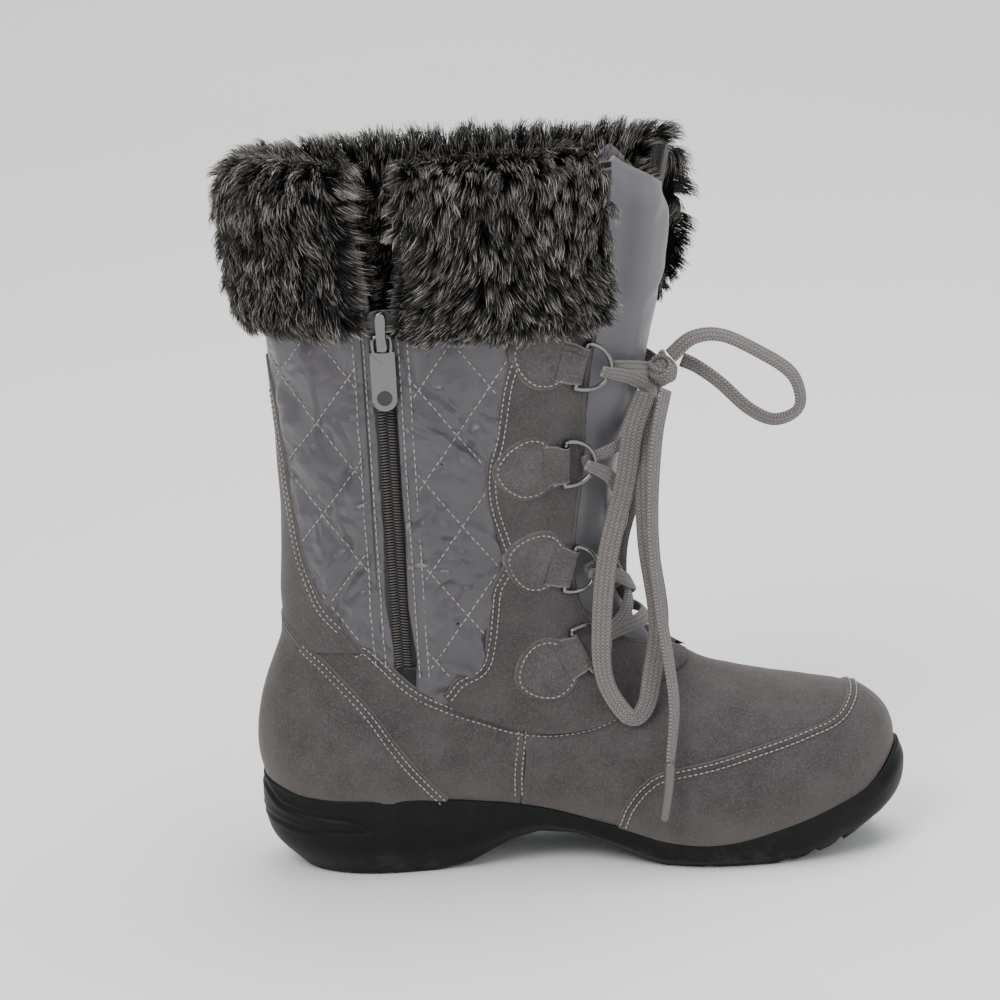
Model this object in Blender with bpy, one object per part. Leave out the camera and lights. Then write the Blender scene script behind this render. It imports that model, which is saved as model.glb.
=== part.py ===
"""Left snow boot: rubber unit sole, suede and quilted-nylon upper, side zip, ring lacing and a folded fur cuff.

Frame: the origin is on the floor under the middle of the heel seat. +X runs to the toe, +Y to the outer
(lateral) side of this left boot and +Z up. Design values are in millimetres and are scaled once, by MM.
"""

import math

import bmesh
import bpy
import numpy as np

MM = 0.001
GAP = 0.3  # clearance between pieces that meet

# ---------------------------------------------------------------- driving dimensions of the last and shaft

HEEL_BACK = -41.0  # back of the last at the feather edge
TOE_TIP = 216.0  # tip of the last at the feather edge
HEEL_HALF = 32.5  # half width of the heel seat
WAIST_HALF = 32.0  # half width at the waist
BALL_HALF = 44.5  # half width at the ball
ANKLE_HALF = 35.5  # half width of the shaft at the ankle
SHAFT_HALF = 42.0  # half width of the shaft at the calf
SHAFT_TOP = 292.0  # height of the collar's wall above the floor
SOLE_WALL = 3.0  # wall of the foot part: suede, interlining and fleece
SHAFT_WALL = 4.0  # wall of the shaft: quilted nylon, wadding and fleece

# The feather edge, where upper meets sole: height over x, with the heel's lift, the ball and the toe spring.
FEATHER_X = [HEEL_BACK, -25.0, 10.0, 35.0, 62.0, 99.0, 125.0, 147.0, 170.0, 190.0, 206.0, TOE_TIP]
FEATHER_Z = [37.0, 33.0, 31.0, 29.0, 25.0, 15.0, 8.5, 8.0, 13.5, 20.0, 27.5, 38.0]

# The upper is a stack of closed loops, from the feather edge (level 0) to the collar (level 13). Each loop is
# given by its back point and front point in the side view, and by half widths at heel, waist and ball.
BACK_X = [HEEL_BACK, -43.0, -43.2, -42.3, -40.5, -37.5, -34.0, -30.8, -30.0, -30.0, -27.8, -28.5, -31.0, -33.0]
BACK_Z = [37.0, 48.0, 56.0, 64.5, 73.0, 82.0, 91.0, 100.0, 110.0, 121.0, 151.0, 200.0, 250.0, SHAFT_TOP]
FRONT_X = [TOE_TIP, 215.5, 212.0, 204.5, 192.0, 170.0, 147.5, 129.0, 114.0, 104.5, 106.5, 121.0, 133.0, 137.0]
FRONT_Z = [38.0, 48.5, 56.5, 62.7, 66.5, 70.0, 75.0, 84.0, 97.0, 117.0, 150.0, 200.0, 250.0, SHAFT_TOP]
HEEL_W = [HEEL_HALF, 33.4, 33.4, 32.8, 31.8, 31.0, 31.0, 31.5, 32.5, 33.5, 37.0, 40.0, 41.5, SHAFT_HALF]
WAIST_W = [WAIST_HALF, 34.0, 35.0, 35.0, 34.5, 34.0, 34.0, 34.3, 35.0, ANKLE_HALF, 38.5, 41.0, 42.0, SHAFT_HALF]
BALL_W = [BALL_HALF, 46.0, 45.6, 43.0, 38.5, 35.0, 34.0, 34.0, 34.5, ANKLE_HALF, 38.5, 41.0, 42.0, SHAFT_HALF]
BACK_ROUND = [0.22, 0.22, 0.23, 0.24, 0.26, 0.30, 0.36, 0.42, 0.46, 0.5, 0.5, 0.5, 0.5, 0.5]
TIP_LENGTH = [0.335, 0.335, 0.345, 0.375, 0.425, 0.49, 0.52, 0.52, 0.51, 0.5, 0.5, 0.5, 0.5, 0.5]
TIP_TAPER = [0.0, 0.0, 0.0, 0.0, 0.04, 0.12, 0.16, 0.14, 0.08, 0.0, 0.0, 0.0, 0.0, 0.0]
BACK_POWER = [2.3, 2.3, 2.3, 2.25, 2.2, 2.15, 2.1, 2.05, 2.0, 2.0, 2.0, 2.0, 2.0, 2.0]
FOLLOW_FEATHER = [1.0, 0.92, 0.72, 0.45, 0.25, 0.13, 0.05, 0.0, 0.0, 0.0, 0.0, 0.0, 0.0, 0.0]
FOLLOW_FOOT = [1.0, 1.0, 0.95, 0.85, 0.7, 0.5, 0.3, 0.12, 0.0, 0.0, 0.0, 0.0, 0.0, 0.0]
TOP_LEVEL = 13.0
# The last swings inward at the toe and outward at the waist: sideways shift of its middle line.
WAIST_SHIFT, BALL_SHIFT, TIP_SHIFT = 4.5, 2.0, -8.0

# The throat: half width of the gap between the facings at the inner (medial) and outer (lateral) side.
THROAT_BASE = 7.2
THROAT_LEVEL = [THROAT_BASE, 7.5, 8.0, 9.0, 10.0, 11.0, 12.0, TOP_LEVEL]
THROAT_MEDIAL = [0.0, 13.0, 19.0, 23.0, 24.0, 30.0, 31.0, 30.0]
THROAT_LATERAL = [0.0, 13.0, 19.0, 23.0, 24.0, 26.0, 17.0, 9.0]

ZIP_X = 17.5  # the zip runs straight up the inner side at this x
ZIP_SLOT = 10.5  # width of the slot that the zip closes
ZIP_FOOT = 90.0  # height of the zip's lower end
SLIDER_Z = 233.0  # height of the slider's middle


# ---------------------------------------------------------------- curves and the last's surface


def curve_value(keys, values, at):
    """Smooth curve through (key, value) pairs: a cubic between neighbours, with the slope of the chord
    across each inner key."""
    keys, values, at = (np.asarray(a, float) for a in (keys, values, at))
    slopes = np.gradient(values, keys)
    i = np.clip(np.searchsorted(keys, at, side="right") - 1, 0, len(keys) - 2)
    span = keys[i + 1] - keys[i]
    t = np.clip((at - keys[i]) / span, 0.0, 1.0)
    start, end = values[i], values[i + 1]
    rise = (start * (1 + 2 * t) + slopes[i] * span * t) * (1 - t) ** 2
    return rise + (end * (3 - 2 * t) - slopes[i + 1] * span * (1 - t)) * t**2


def soft_step(t):
    """0 below 0, 1 above 1, and a smooth S between."""
    t = np.clip(t, 0.0, 1.0)
    return t * t * (3 - 2 * t)


def at_level(column, level):
    return curve_value(range(len(column)), column, level)


def along(u):
    """Share of the loop's length from back (0) to front (1). u is 0 at the front, 1 or -1 at the back."""
    return (1 + np.cos(math.pi * np.abs(u))) / 2


def middle_shift(t, level):
    swing = WAIST_SHIFT * soft_step((t - 0.1) / 0.35)
    swing = swing + (BALL_SHIFT - WAIST_SHIFT) * soft_step((t - 0.45) / 0.3)
    swing = swing + (TIP_SHIFT - BALL_SHIFT) * soft_step((t - 0.7) / 0.3)
    return swing * at_level(FOLLOW_FOOT, level)


def half_width(t, level):
    heel, waist, ball = (at_level(w, level) for w in (HEEL_W, WAIST_W, BALL_W))
    body = heel + (waist - heel) * soft_step((t - 0.15) / 0.3) + (ball - waist) * soft_step((t - 0.45) / 0.3)
    power = at_level(BACK_POWER, level)
    back = np.clip(1 - t / at_level(BACK_ROUND, level), 0.0, 1.0)
    tip_length = at_level(TIP_LENGTH, level)
    tip = np.clip((t - 1 + tip_length) / tip_length, 0.0, 1.0)
    rounded = (1 - back**power) ** (1 / power) * np.sqrt(1 - tip**2)
    return body * rounded * (1 - at_level(TIP_TAPER, level) * tip**2)


def surface(u, level):
    """Point on the boot's outside in millimetres: u round the loop (negative is the inner side), level up it.
    u may run past -1 or 1, at the heel, onto the other side."""
    u, level = np.broadcast_arrays(np.asarray(u, float), np.asarray(level, float))
    t = along(u)
    back_x, front_x = at_level(BACK_X, level), at_level(FRONT_X, level)
    back_z, front_z = at_level(BACK_Z, level), at_level(FRONT_Z, level)
    feather_x = HEEL_BACK + (TOE_TIP - HEEL_BACK) * t
    dip = curve_value(FEATHER_X, FEATHER_Z, feather_x) - (FEATHER_Z[0] + (FEATHER_Z[-1] - FEATHER_Z[0]) * t)
    x = back_x + (front_x - back_x) * t
    y = middle_shift(t, level) + np.sign(np.sin(math.pi * u)) * half_width(t, level)
    z = back_z + (front_z - back_z) * t + at_level(FOLLOW_FEATHER, level) * dip
    return np.stack([x, y, z], axis=-1)


def outward(u, level):
    """Unit normal of the surface, pointing out of the boot."""
    step = 1e-3
    u = np.asarray(u, float)
    level = np.clip(np.asarray(level, float), step, TOP_LEVEL - step)
    across = surface(u + step, level) - surface(u - step, level)
    up = surface(u, level + step) - surface(u, level - step)
    normal = np.cross(across, up)
    return normal / np.linalg.norm(normal, axis=-1, keepdims=True)


def off_surface(u, level, height):
    """Point at that height above the boot's outside (below it where height is negative)."""
    return surface(u, level) + outward(u, level) * np.asarray(height, float)[..., None]


U_GRID, LEVEL_GRID = np.meshgrid(np.linspace(0.02, 0.98, 90), np.linspace(0, TOP_LEVEL, 131))
SEEN = surface(U_GRID, LEVEL_GRID)


def place_of(x, z, side):
    """(u, level) of the surface point seen at x, z from that side (-1 inner, 1 outer)."""
    nearest = np.hypot(SEEN[..., 0] - x, SEEN[..., 2] - z).argmin()
    found = np.array([side * U_GRID.flat[nearest], LEVEL_GRID.flat[nearest]])
    step = 1e-4
    for _ in range(12):
        here = surface(*found)[[0, 2]]
        slope_u = (surface(found[0] + step, found[1])[[0, 2]] - here) / step
        slope_level = (surface(found[0], found[1] + step)[[0, 2]] - here) / step
        move = np.linalg.solve(np.stack([slope_u, slope_level], axis=1), np.array([x, z]) - here)
        found = found + np.clip(move, [-0.05, -0.5], [0.05, 0.5])
        found = np.clip(found, [min(side * 0.01, side * 0.99), 0.0], [max(side * 0.01, side * 0.99), TOP_LEVEL])
    return found


def u_at_half_width(half, level, side):
    """u on the front half of the loop where it is that far from the loop's middle line."""
    choices = np.linspace(0.0, 0.5, 400)
    return side * np.interp(half, half_width(along(choices), level), choices)


def wall(level):
    """Thickness of the upper at each level."""
    return SOLE_WALL + (SHAFT_WALL - SOLE_WALL) * soft_step((level - 6) / 4)


# ---------------------------------------------------------------- mesh makers


def add_object(name, mesh, colour, roughness, metallic=0.0):
    material = bpy.data.materials.new(name)
    material.use_nodes = True
    shader = material.node_tree.nodes["Principled BSDF"]
    shader.inputs["Base Color"].default_value = (*colour, 1.0)
    shader.inputs["Roughness"].default_value = roughness
    shader.inputs["Metallic"].default_value = metallic
    mesh.materials.append(material)
    obj = bpy.data.objects.new(name, mesh)
    boot.objects.link(obj)
    return obj


def mesh_from(points, faces, merge=True):
    """Mesh of points in millimetres. Points that fall together become one, and faces are turned outward."""
    mesh = bpy.data.meshes.new("shape")
    mesh.from_pydata((np.asarray(points, float) * MM).tolist(), [], faces)
    work = bmesh.new()
    work.from_mesh(mesh)
    if merge:
        bmesh.ops.remove_doubles(work, verts=work.verts, dist=1e-6)
    bmesh.ops.recalc_face_normals(work, faces=work.faces)
    work.to_mesh(mesh)
    work.free()
    mesh.shade_smooth()
    mesh.set_sharp_from_angle(angle=math.radians(40))
    return mesh


def grid_faces(rows, columns, start=0, closed=False):
    """Quads of a grid of points stored row by row. A closed grid joins its last column to its first."""
    last = columns if closed else columns - 1
    return [
        (
            start + j * columns + i,
            start + j * columns + (i + 1) % columns,
            start + (j + 1) * columns + (i + 1) % columns,
            start + (j + 1) * columns + i,
        )
        for j in range(rows - 1)
        for i in range(last)
    ]


def slab_mesh(top, bottom):
    """Closed solid between two grids of points of the same size, joined round their edge."""
    rows, columns = top.shape[:2]
    count = rows * columns
    points = np.concatenate([top.reshape(-1, 3), bottom.reshape(-1, 3)])
    faces = grid_faces(rows, columns) + [f[::-1] for f in grid_faces(rows, columns, count)]
    index = np.arange(count).reshape(rows, columns)
    edge = [*index[0], *index[1:, -1], *index[-1, -2::-1], *index[-2:0:-1, 0]]
    for a, b in zip(edge, edge[1:] + edge[:1]):
        faces.append((int(a), int(b), int(b) + count, int(a) + count))
    return mesh_from(points, faces)


def swept_mesh(sections):
    """Closed solid through closed sections of the same number of points, with flat ends."""
    stations, around = sections.shape[:2]
    faces = grid_faces(stations, around, closed=True)
    faces.append(tuple(range(around)))
    faces.append(tuple((stations - 1) * around + i for i in reversed(range(around))))
    return mesh_from(sections.reshape(-1, 3), faces)


def patch_mesh(outline, low, high):
    """Closed solid that lies on the surface: outline is a closed list of (u, level), low and high its heights."""
    outline = np.asarray(outline, float)
    middle = outline.mean(axis=0)
    rings = [middle + (outline - middle) * share for share in (1.0, 0.5)]
    count = len(outline)
    points, faces = [], []
    for layer, height in enumerate((high, low)):
        for ring in rings:
            points.append(off_surface(ring[:, 0], ring[:, 1], np.full(count, height)))
        points.append(off_surface(middle[0], middle[1], np.array(height))[None])
        base = layer * (2 * count + 1)
        for i in range(count):
            j = (i + 1) % count
            faces.append((base + i, base + j, base + count + j, base + count + i))
            faces.append((base + count + i, base + count + j, base + 2 * count))
    for i in range(count):
        j = (i + 1) % count
        faces.append((i, j, 2 * count + 1 + j, 2 * count + 1 + i))
    return mesh_from(np.concatenate(points), faces)


def smooth_path(points, count, closed=False):
    """Points spread evenly along a smooth curve through the given ones."""
    points = np.asarray(points, float)
    if closed:
        points = np.concatenate([points[-2:], points, points[:3]])
    keys = np.concatenate([[0], np.cumsum(np.linalg.norm(np.diff(points, axis=0), axis=1))])
    first, last = (keys[2], keys[-3]) if closed else (keys[0], keys[-1])
    fine = np.linspace(first, last, 400)
    line = np.stack([curve_value(keys, points[:, k], fine) for k in range(points.shape[1])], axis=1)
    length = np.concatenate([[0], np.cumsum(np.linalg.norm(np.diff(line, axis=0), axis=1))])
    even = np.linspace(0, length[-1], count + 1)[:-1] if closed else np.linspace(0, length[-1], count)
    return np.stack([np.interp(even, length, line[:, k]) for k in range(points.shape[1])], axis=1)


def tube(name, points, radius, colour, roughness, metallic=0.0, closed=False, sides=2):
    """Round bar along points in millimetres: a poly curve with a bevel."""
    curve = bpy.data.curves.new(name, "CURVE")
    curve.dimensions = "3D"
    curve.bevel_depth = radius * MM
    curve.bevel_resolution = sides
    curve.use_fill_caps = True
    spline = curve.splines.new("POLY")
    spline.points.add(len(points) - 1)
    for target, point in zip(spline.points, np.asarray(points) * MM):
        target.co = (*point, 1.0)
    spline.use_cyclic_u = closed
    return add_object(name, curve, colour, roughness, metallic)


def as_mesh(obj):
    """The same object as a mesh with its caps welded, so that a Boolean can use it."""
    graph = bpy.context.evaluated_depsgraph_get()
    mesh = bpy.data.meshes.new_from_object(obj.evaluated_get(graph))
    work = bmesh.new()
    work.from_mesh(mesh)
    bmesh.ops.remove_doubles(work, verts=work.verts, dist=1e-6)
    work.to_mesh(mesh)
    work.free()
    made = bpy.data.objects.new(obj.name + ".solid", mesh)
    made.matrix_world = obj.matrix_world
    boot.objects.link(made)
    name, curve = obj.name, obj.data
    bpy.data.objects.remove(obj)
    bpy.data.curves.remove(curve)
    made.name = name
    return made


def prism(name, outline, low, high, axis):
    """Cutter: a flat outline carried along an axis ("x", "y" or "z") from low to high."""
    rest = [k for k in range(3) if k != "xyz".index(axis)]
    sections = np.zeros((2, len(outline), 3))
    sections[:, :, rest] = np.asarray(outline, float)
    sections[0, :, "xyz".index(axis)] = low
    sections[1, :, "xyz".index(axis)] = high
    cutter = bpy.data.objects.new(name, swept_mesh(sections))
    helpers.objects.link(cutter)
    cutter.hide_render = True
    cutter.display_type = "WIRE"
    return cutter


def combine(obj, other, operation):
    modifier = obj.modifiers.new(operation.lower(), "BOOLEAN")
    modifier.operation = operation
    modifier.solver = "EXACT"
    modifier.object = other


# ---------------------------------------------------------------- colours, linear

SUEDE = (0.105, 0.097, 0.097)
NYLON = (0.118, 0.112, 0.124)
RUBBER = (0.010, 0.010, 0.011)
FUR = (0.035, 0.032, 0.030)
LACE = (0.135, 0.125, 0.122)
STEEL = (0.55, 0.55, 0.54)
FELT = (0.030, 0.028, 0.028)

for old in list(bpy.data.objects):
    bpy.data.objects.remove(old)
boot = bpy.data.collections.new("snow_boot")
helpers = bpy.data.collections.new("cutters")
for group in (boot, helpers):
    bpy.context.scene.collection.children.link(group)

# ---------------------------------------------------------------- unit sole

RIM_RISE = 4.0  # the sole's rim stands this far above the feather edge
TREAD_DEPTH = 2.6
TREAD_WIDTH = 3.2
GROUND_X = [-60.0, 26.0, 40.0, 48.0, 57.0, 69.0, 84.0, 101.0, 112.0, 120.0, 165.0, 178.0, 192.0, 205.0, 214.0]
GROUND_Z = [0.0, 0.0, 2.6, 6.5, 11.0, 14.0, 12.6, 6.6, 2.2, 0.0, 0.0, 2.0, 5.6, 9.6, 13.0]
# Sideways offset from the feather edge, from back (0) through waist to toe tip (1).
OFFSET_T = [0.0, 0.1, 0.3, 0.5, 0.72, 0.9, 1.0]
BOTTOM_OFFSET = [-11.0, -7.0, -5.0, -3.5, -1.5, -2.5, -6.0]
BULGE_OFFSET = [4.0, 3.2, 2.6, 2.4, 2.6, 3.6, 6.0]
RIM_OFFSET = [3.2, 2.9, 2.8, 2.7, 2.8, 3.2, 4.0]


def ground_height(x):
    """Underside of the sole: flat under heel and ball, arched at the waist, sprung at the toe."""
    return np.maximum(np.interp(x, GROUND_X, GROUND_Z), 0.0)


def sole_outline(u, offset, height):
    """Loop round the sole: the feather edge moved sideways by offset, at the given heights."""
    edge = surface(u, 0.0)
    normal = outward(u, 0.0)[:, :2]
    normal = normal / np.linalg.norm(normal, axis=1, keepdims=True)
    loop = np.concatenate([edge[:, :2] + normal * np.asarray(offset)[:, None], height[:, None]], axis=1)
    return loop


def ladder(indices, flip):
    """Flat fill of a loop whose two sides face each other: one quad across between each pair of neighbours."""
    count = len(indices)
    half = count // 2
    faces = [(indices[0], indices[1], indices[-1]), (indices[half], indices[half + 1], indices[half - 1])]
    for i in range(1, half - 1):
        faces.append((indices[i], indices[i + 1], indices[count - i - 1], indices[count - i]))
    return [tuple(reversed(f)) for f in faces] if flip else faces


def make_sole():
    columns = 56
    u = np.linspace(-1, 1, columns + 1)[:-1]
    t = along(u)
    feather = surface(u, 0.0)[:, 2]
    rim = feather + RIM_RISE
    bottom, bulge, top = (curve_value(OFFSET_T, o, t) for o in (BOTTOM_OFFSET, BULGE_OFFSET, RIM_OFFSET))
    ground = ground_height(sole_outline(u, bottom, rim)[:, 0])
    inside = np.full(columns, 0.9)
    loops = [
        sole_outline(u, bottom - 1.6, ground),
        sole_outline(u, bottom, ground + 1.2),
        sole_outline(u, bottom * 0.2 + bulge * 0.8, ground + (rim - ground) * 0.36),
        sole_outline(u, bulge, ground + (rim - ground) * 0.72),
        sole_outline(u, top, rim - 0.8),
        sole_outline(u, top - 0.7, rim),
        sole_outline(u, inside + 0.5, rim),
        sole_outline(u, inside, feather - GAP),
    ]
    loops[0][:, 2] = ground_height(loops[0][:, 0])
    faces = grid_faces(len(loops), columns, closed=True)
    faces += ladder(list(range(columns)), True)
    faces += ladder([(len(loops) - 1) * columns + i for i in range(columns)], False)
    return add_object("sole", mesh_from(np.concatenate(loops), faces), RUBBER, 0.62)


def cut_tread(sole):
    """Grooves across heel and forefoot leave the lugs. Each follows the slope of the underside."""
    for k, x in enumerate((-12.0, 6.0, 124.0, 138.0, 166.0, 179.0, 190.0, 200.0)):
        floor = float(ground_height(x))
        lean = 3.0 if x > 170 else 0.0
        outline = [
            (x - TREAD_WIDTH / 2 - lean, floor - 6),
            (x + TREAD_WIDTH / 2 - lean, floor - 6),
            (x + TREAD_WIDTH / 2, floor + TREAD_DEPTH),
            (x - TREAD_WIDTH / 2, floor + TREAD_DEPTH),
        ]
        combine(sole, prism(f"groove_{k}", outline, -70, 70, "y"), "DIFFERENCE")


cut_tread(make_sole())

# ---------------------------------------------------------------- insole


def make_insole():
    columns = 44
    u = np.linspace(-1, 1, columns + 1)[:-1]
    feather = surface(u, 0.0)[:, 2]
    inset = np.full(columns, -(SOLE_WALL + 0.9))
    loops = [sole_outline(u, inset, feather), sole_outline(u, inset, feather + 4.0)]
    faces = grid_faces(2, columns, closed=True)
    faces += ladder(list(range(columns)), True) + ladder([columns + i for i in range(columns)], False)
    return add_object("insole", mesh_from(np.concatenate(loops), faces), FELT, 0.95)


make_insole()

# ---------------------------------------------------------------- hollow upper


def throat_edge(level, side):
    """u of the facing's edge at that side. 0 below the throat, where both sides are one."""
    half = np.interp(level, THROAT_LEVEL, THROAT_LATERAL if side > 0 else THROAT_MEDIAL)
    return u_at_half_width(half, level, side) if level > THROAT_BASE else 0.0


def make_upper():
    foot = np.arange(0.0, 7.0, 0.5)
    shaft = [7.2, 7.5, 7.8, 8.2, 8.7, 9.3, 10.0, 10.6, 11.2, 11.9, 12.5, 13.0]
    levels = np.concatenate([foot, shaft])
    half_columns = 19
    steps = np.linspace(0, 1, half_columns + 1)
    outer, inner = [], []
    for level in levels:
        medial, lateral = throat_edge(level, -1), throat_edge(level, 1)
        u = np.concatenate([medial + (-1 - medial) * steps, (1 + (lateral - 1) * steps)[1:]])
        outer.append(surface(u, level))
        inner.append(off_surface(u, np.full(len(u), level), np.full(len(u), -wall(level))))
    outer, inner = np.array(outer), np.array(inner)
    rows, columns = outer.shape[:2]
    count = rows * columns
    faces = grid_faces(rows, columns) + [f[::-1] for f in grid_faces(rows, columns, count)]
    for row in (0, rows - 1):
        for i in range(columns - 1):
            a, b = row * columns + i, row * columns + i + 1
            faces.append((a, b, b + count, a + count))
    for row in range(rows - 1):
        if levels[row] < THROAT_BASE:
            continue
        for column in (0, columns - 1):
            a, b = row * columns + column, (row + 1) * columns + column
            faces.append((a, b, b + count, a + count))
    mesh = mesh_from(np.concatenate([outer.reshape(-1, 3), inner.reshape(-1, 3)]), faces)
    return add_object("upper", mesh, SUEDE, 0.9)


def cut_zip_slot(upper):
    """The slot is parallel up to the slider and opens to a V through the collar."""
    left, right = ZIP_X - ZIP_SLOT / 2, ZIP_X + ZIP_SLOT / 2
    outline = [
        (left, ZIP_FOOT), (right, ZIP_FOOT), (right, SLIDER_Z + 8),
        (right + 5, SHAFT_TOP + 5), (left - 3, SHAFT_TOP + 5), (left, SLIDER_Z + 8),
    ]
    combine(upper, prism("zip_slot", outline, -70, -20, "y"), "DIFFERENCE")


cut_zip_slot(make_upper())

# ---------------------------------------------------------------- toe cap and heel counter, standing proud

OVERLAY = 1.7  # top of a suede overlay above the upper
OVERLAY_BASE = 0.45

CAP_LINE = [(101, 19.5), (105, 29), (112, 38), (123, 44), (152, 49.5), (177, 55), (192, 58.5)]
COUNTER_LINE = [(31.5, 36), (24, 44), (13, 59), (0, 78), (-12, 91), (-22, 100)]


def overlay_line(points, end_level, forward):
    """(u, level) along an overlay's top edge, from the inner side round the toe or heel to the outer side."""
    medial = [place_of(x, z, -1) for x, z in points]
    lateral = [place_of(x, z, 1) for x, z in points]
    turn = [(0.0, end_level)] if forward else [(-1.0, end_level)]
    if not forward:
        lateral = [(u - 2.0, level) for u, level in lateral]
    return np.array([*medial, *turn, *lateral[::-1]])


def rim_level(u):
    """Level at which the surface clears the sole's rim."""
    levels = np.linspace(0.0, 1.0, 41)
    u_all, level_all = np.meshgrid(u, levels)
    height = surface(u_all, level_all)[..., 2] - surface(u, 0.0)[:, 2]
    return levels[(height > RIM_RISE + 2 * GAP).argmax(axis=0)]


def make_overlay(name, points, end_level, forward, columns, rows):
    """Band of suede between the sole's rim and its top edge."""
    line = overlay_line(points, end_level, forward)
    line = line[np.argsort(line[:, 0])]
    u = np.linspace(line[0, 0], line[-1, 0], columns)
    start = rim_level(u)
    share = np.linspace(0, 1, rows)[:, None]
    edge = np.maximum(curve_value(line[:, 0], line[:, 1], u), start + 0.12)
    level = start + (edge - start) * share
    u = np.broadcast_to(u, level.shape)
    top = off_surface(u, level, np.full(level.shape, OVERLAY))
    bottom = off_surface(u, level, np.full(level.shape, OVERLAY_BASE))
    return add_object(name, slab_mesh(top, bottom), SUEDE, 0.9)


make_overlay("toe_cap", CAP_LINE, 3.5, True, 34, 7)
make_overlay("heel_counter", COUNTER_LINE, 7.6, False, 25, 9)

# ---------------------------------------------------------------- tongue

TONGUE_WIDTH = [15.0, 24.0, 29.0, 31.0, 35.0, 37.0, 36.0, 24.0]
TONGUE_LEVEL = [6.9, 7.4, 8.0, 9.0, 11.0, 12.0, 12.7, 13.0]
TONGUE_THICK = 3.6


def make_tongue():
    """Padded nylon tongue. Its middle crowns up between the facings, and its edges tuck under them."""
    levels = np.array([6.9, 7.2, 7.5, 8.0, 8.6, 9.2, 10.0, 10.7, 11.4, 12.0, 12.5, 12.85, 13.0])
    across = np.linspace(-1, 1, 13)
    top, bottom = [], []
    for level in levels:
        half = np.interp(level, TONGUE_LEVEL, TONGUE_WIDTH)
        choices = np.linspace(0.0, 0.5, 400)
        u = np.sign(across) * np.interp(np.abs(across) * half, half_width(along(choices), level), choices)
        tucked = wall(level) + 1.3 + 2.4 * soft_step((level - 11.5) / 0.4)
        throat = np.where(
            across < 0,
            np.interp(level, THROAT_LEVEL, THROAT_MEDIAL),
            np.interp(level, THROAT_LEVEL, THROAT_LATERAL),
        )
        crown = soft_step((throat - np.abs(across) * half - 5.5) / 9.0)
        height = -tucked * (1 - crown) - 0.4 * crown - 1.2 * (1 - soft_step((level - 7.3) / 0.6)) * crown
        # The top edge is cut round: lower at the middle of the front.
        cut = level - 0.28 * (1 - across**2) * soft_step(level - 12)
        top.append(off_surface(u, cut, height))
        bottom.append(off_surface(u, cut, height - TONGUE_THICK))
    return add_object("tongue", slab_mesh(np.array(top), np.array(bottom)), NYLON, 0.55)


make_tongue()

# ---------------------------------------------------------------- fur cuff, folded over the collar

# Section of the cuff at its fullest: distance out from the shaft, and height. It starts at the lining's foot,
# runs up the inside, over the roll and down the outside, and comes back along the wall.
CUFF_SECTION = [
    (-9.0, 254.0), (-12.0, 264.0), (-12.0, 283.0), (-8.5, 294.0), (-2.0, 299.0), (6.0, 297.5),
    (12.0, 288.0), (14.5, 271.0), (14.0, 251.0), (11.5, 238.0), (6.5, 232.0), (1.2, 234.5),
]
CUFF_WALL = [(GAP + 0.3, SHAFT_TOP + GAP), (-SHAFT_WALL - GAP - 0.3, SHAFT_TOP + GAP), (-SHAFT_WALL - GAP - 0.3, 254.0)]
CUFF_FOOT = 232.0


def shaft_point(u, z, height):
    """Point at height z on the shaft, that far out from its wall."""
    level = np.interp(z, BACK_Z, np.arange(len(BACK_Z)))
    point = surface(u, level)
    normal = outward(u, level)
    normal[..., 2] = 0.0
    normal = normal / np.linalg.norm(normal, axis=-1, keepdims=True)
    return np.stack([*(point + normal * height)[:2], z])


def cuff_station(u, fullness, lift, lining):
    """One section of the cuff: fullness swells the outer fold, lift raises its foot, lining swells the inside."""
    section = []
    for out, z in CUFF_SECTION:
        if out < -SHAFT_WALL:
            out = -SHAFT_WALL - GAP - 0.3 - 1.2 + (out + SHAFT_WALL + GAP + 1.5) * lining
        elif z < SHAFT_TOP:
            out = 1.2 + (out - 1.2) * fullness
        if out > 0 and z < SHAFT_TOP:
            z = SHAFT_TOP - (SHAFT_TOP - z) * (1 - lift)
        if z > SHAFT_TOP:
            z = SHAFT_TOP + 1.5 + (z - SHAFT_TOP - 1.5) * fullness
        section.append(shaft_point(u, z, out))
    section += [shaft_point(u, z, out) for out, z in CUFF_WALL]
    return section


def make_cuff(name, stations):
    sections = np.array([cuff_station(*station) for station in stations])
    return add_object(name, swept_mesh(sections), FUR, 1.0)


def zip_edge(x, z=270.0):
    return place_of(x, z, -1)[0]


def cuff_stations(first, last, count, lift_first, lift_last, lining_last):
    """Stations from first to last u. The fold thins at both ends and its foot lifts there."""
    stations = []
    for share in np.linspace(0, 1, count):
        near_first, near_last = 1 - share / 0.12, 1 - (1 - share) / 0.12
        end = max(near_first, near_last, 0.0)
        fullness = 0.35 + 0.65 * math.sqrt(1 - end**2)
        lift = lift_first * max(near_first, 0.0) ** 2 + lift_last * max(near_last, 0.0) ** 2
        lining = 1 - (1 - lining_last) * soft_step((share - 0.5) / 0.28)
        stations.append((first + (last - first) * share, fullness, lift, lining))
    return stations


def make_cuffs():
    front_medial = float(u_at_half_width(THROAT_MEDIAL[-1] - 1.0, TOP_LEVEL, -1))
    front_lateral = float(u_at_half_width(THROAT_LATERAL[-1] + 4.0, TOP_LEVEL, 1))
    flap = cuff_stations(zip_edge(26.5), front_medial, 9, 0.18, 0.12, 0.0)
    make_cuff("cuff_front", flap)
    # The long cuff runs from the zip back round the heel side and along the outer side to the front.
    wrap = cuff_stations(zip_edge(10.0), front_lateral - 2.0, 23, 0.14, 0.1, 0.0)
    make_cuff("cuff_back", wrap)


make_cuffs()

# ---------------------------------------------------------------- zip: tape and coil, slider, pull tab

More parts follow.
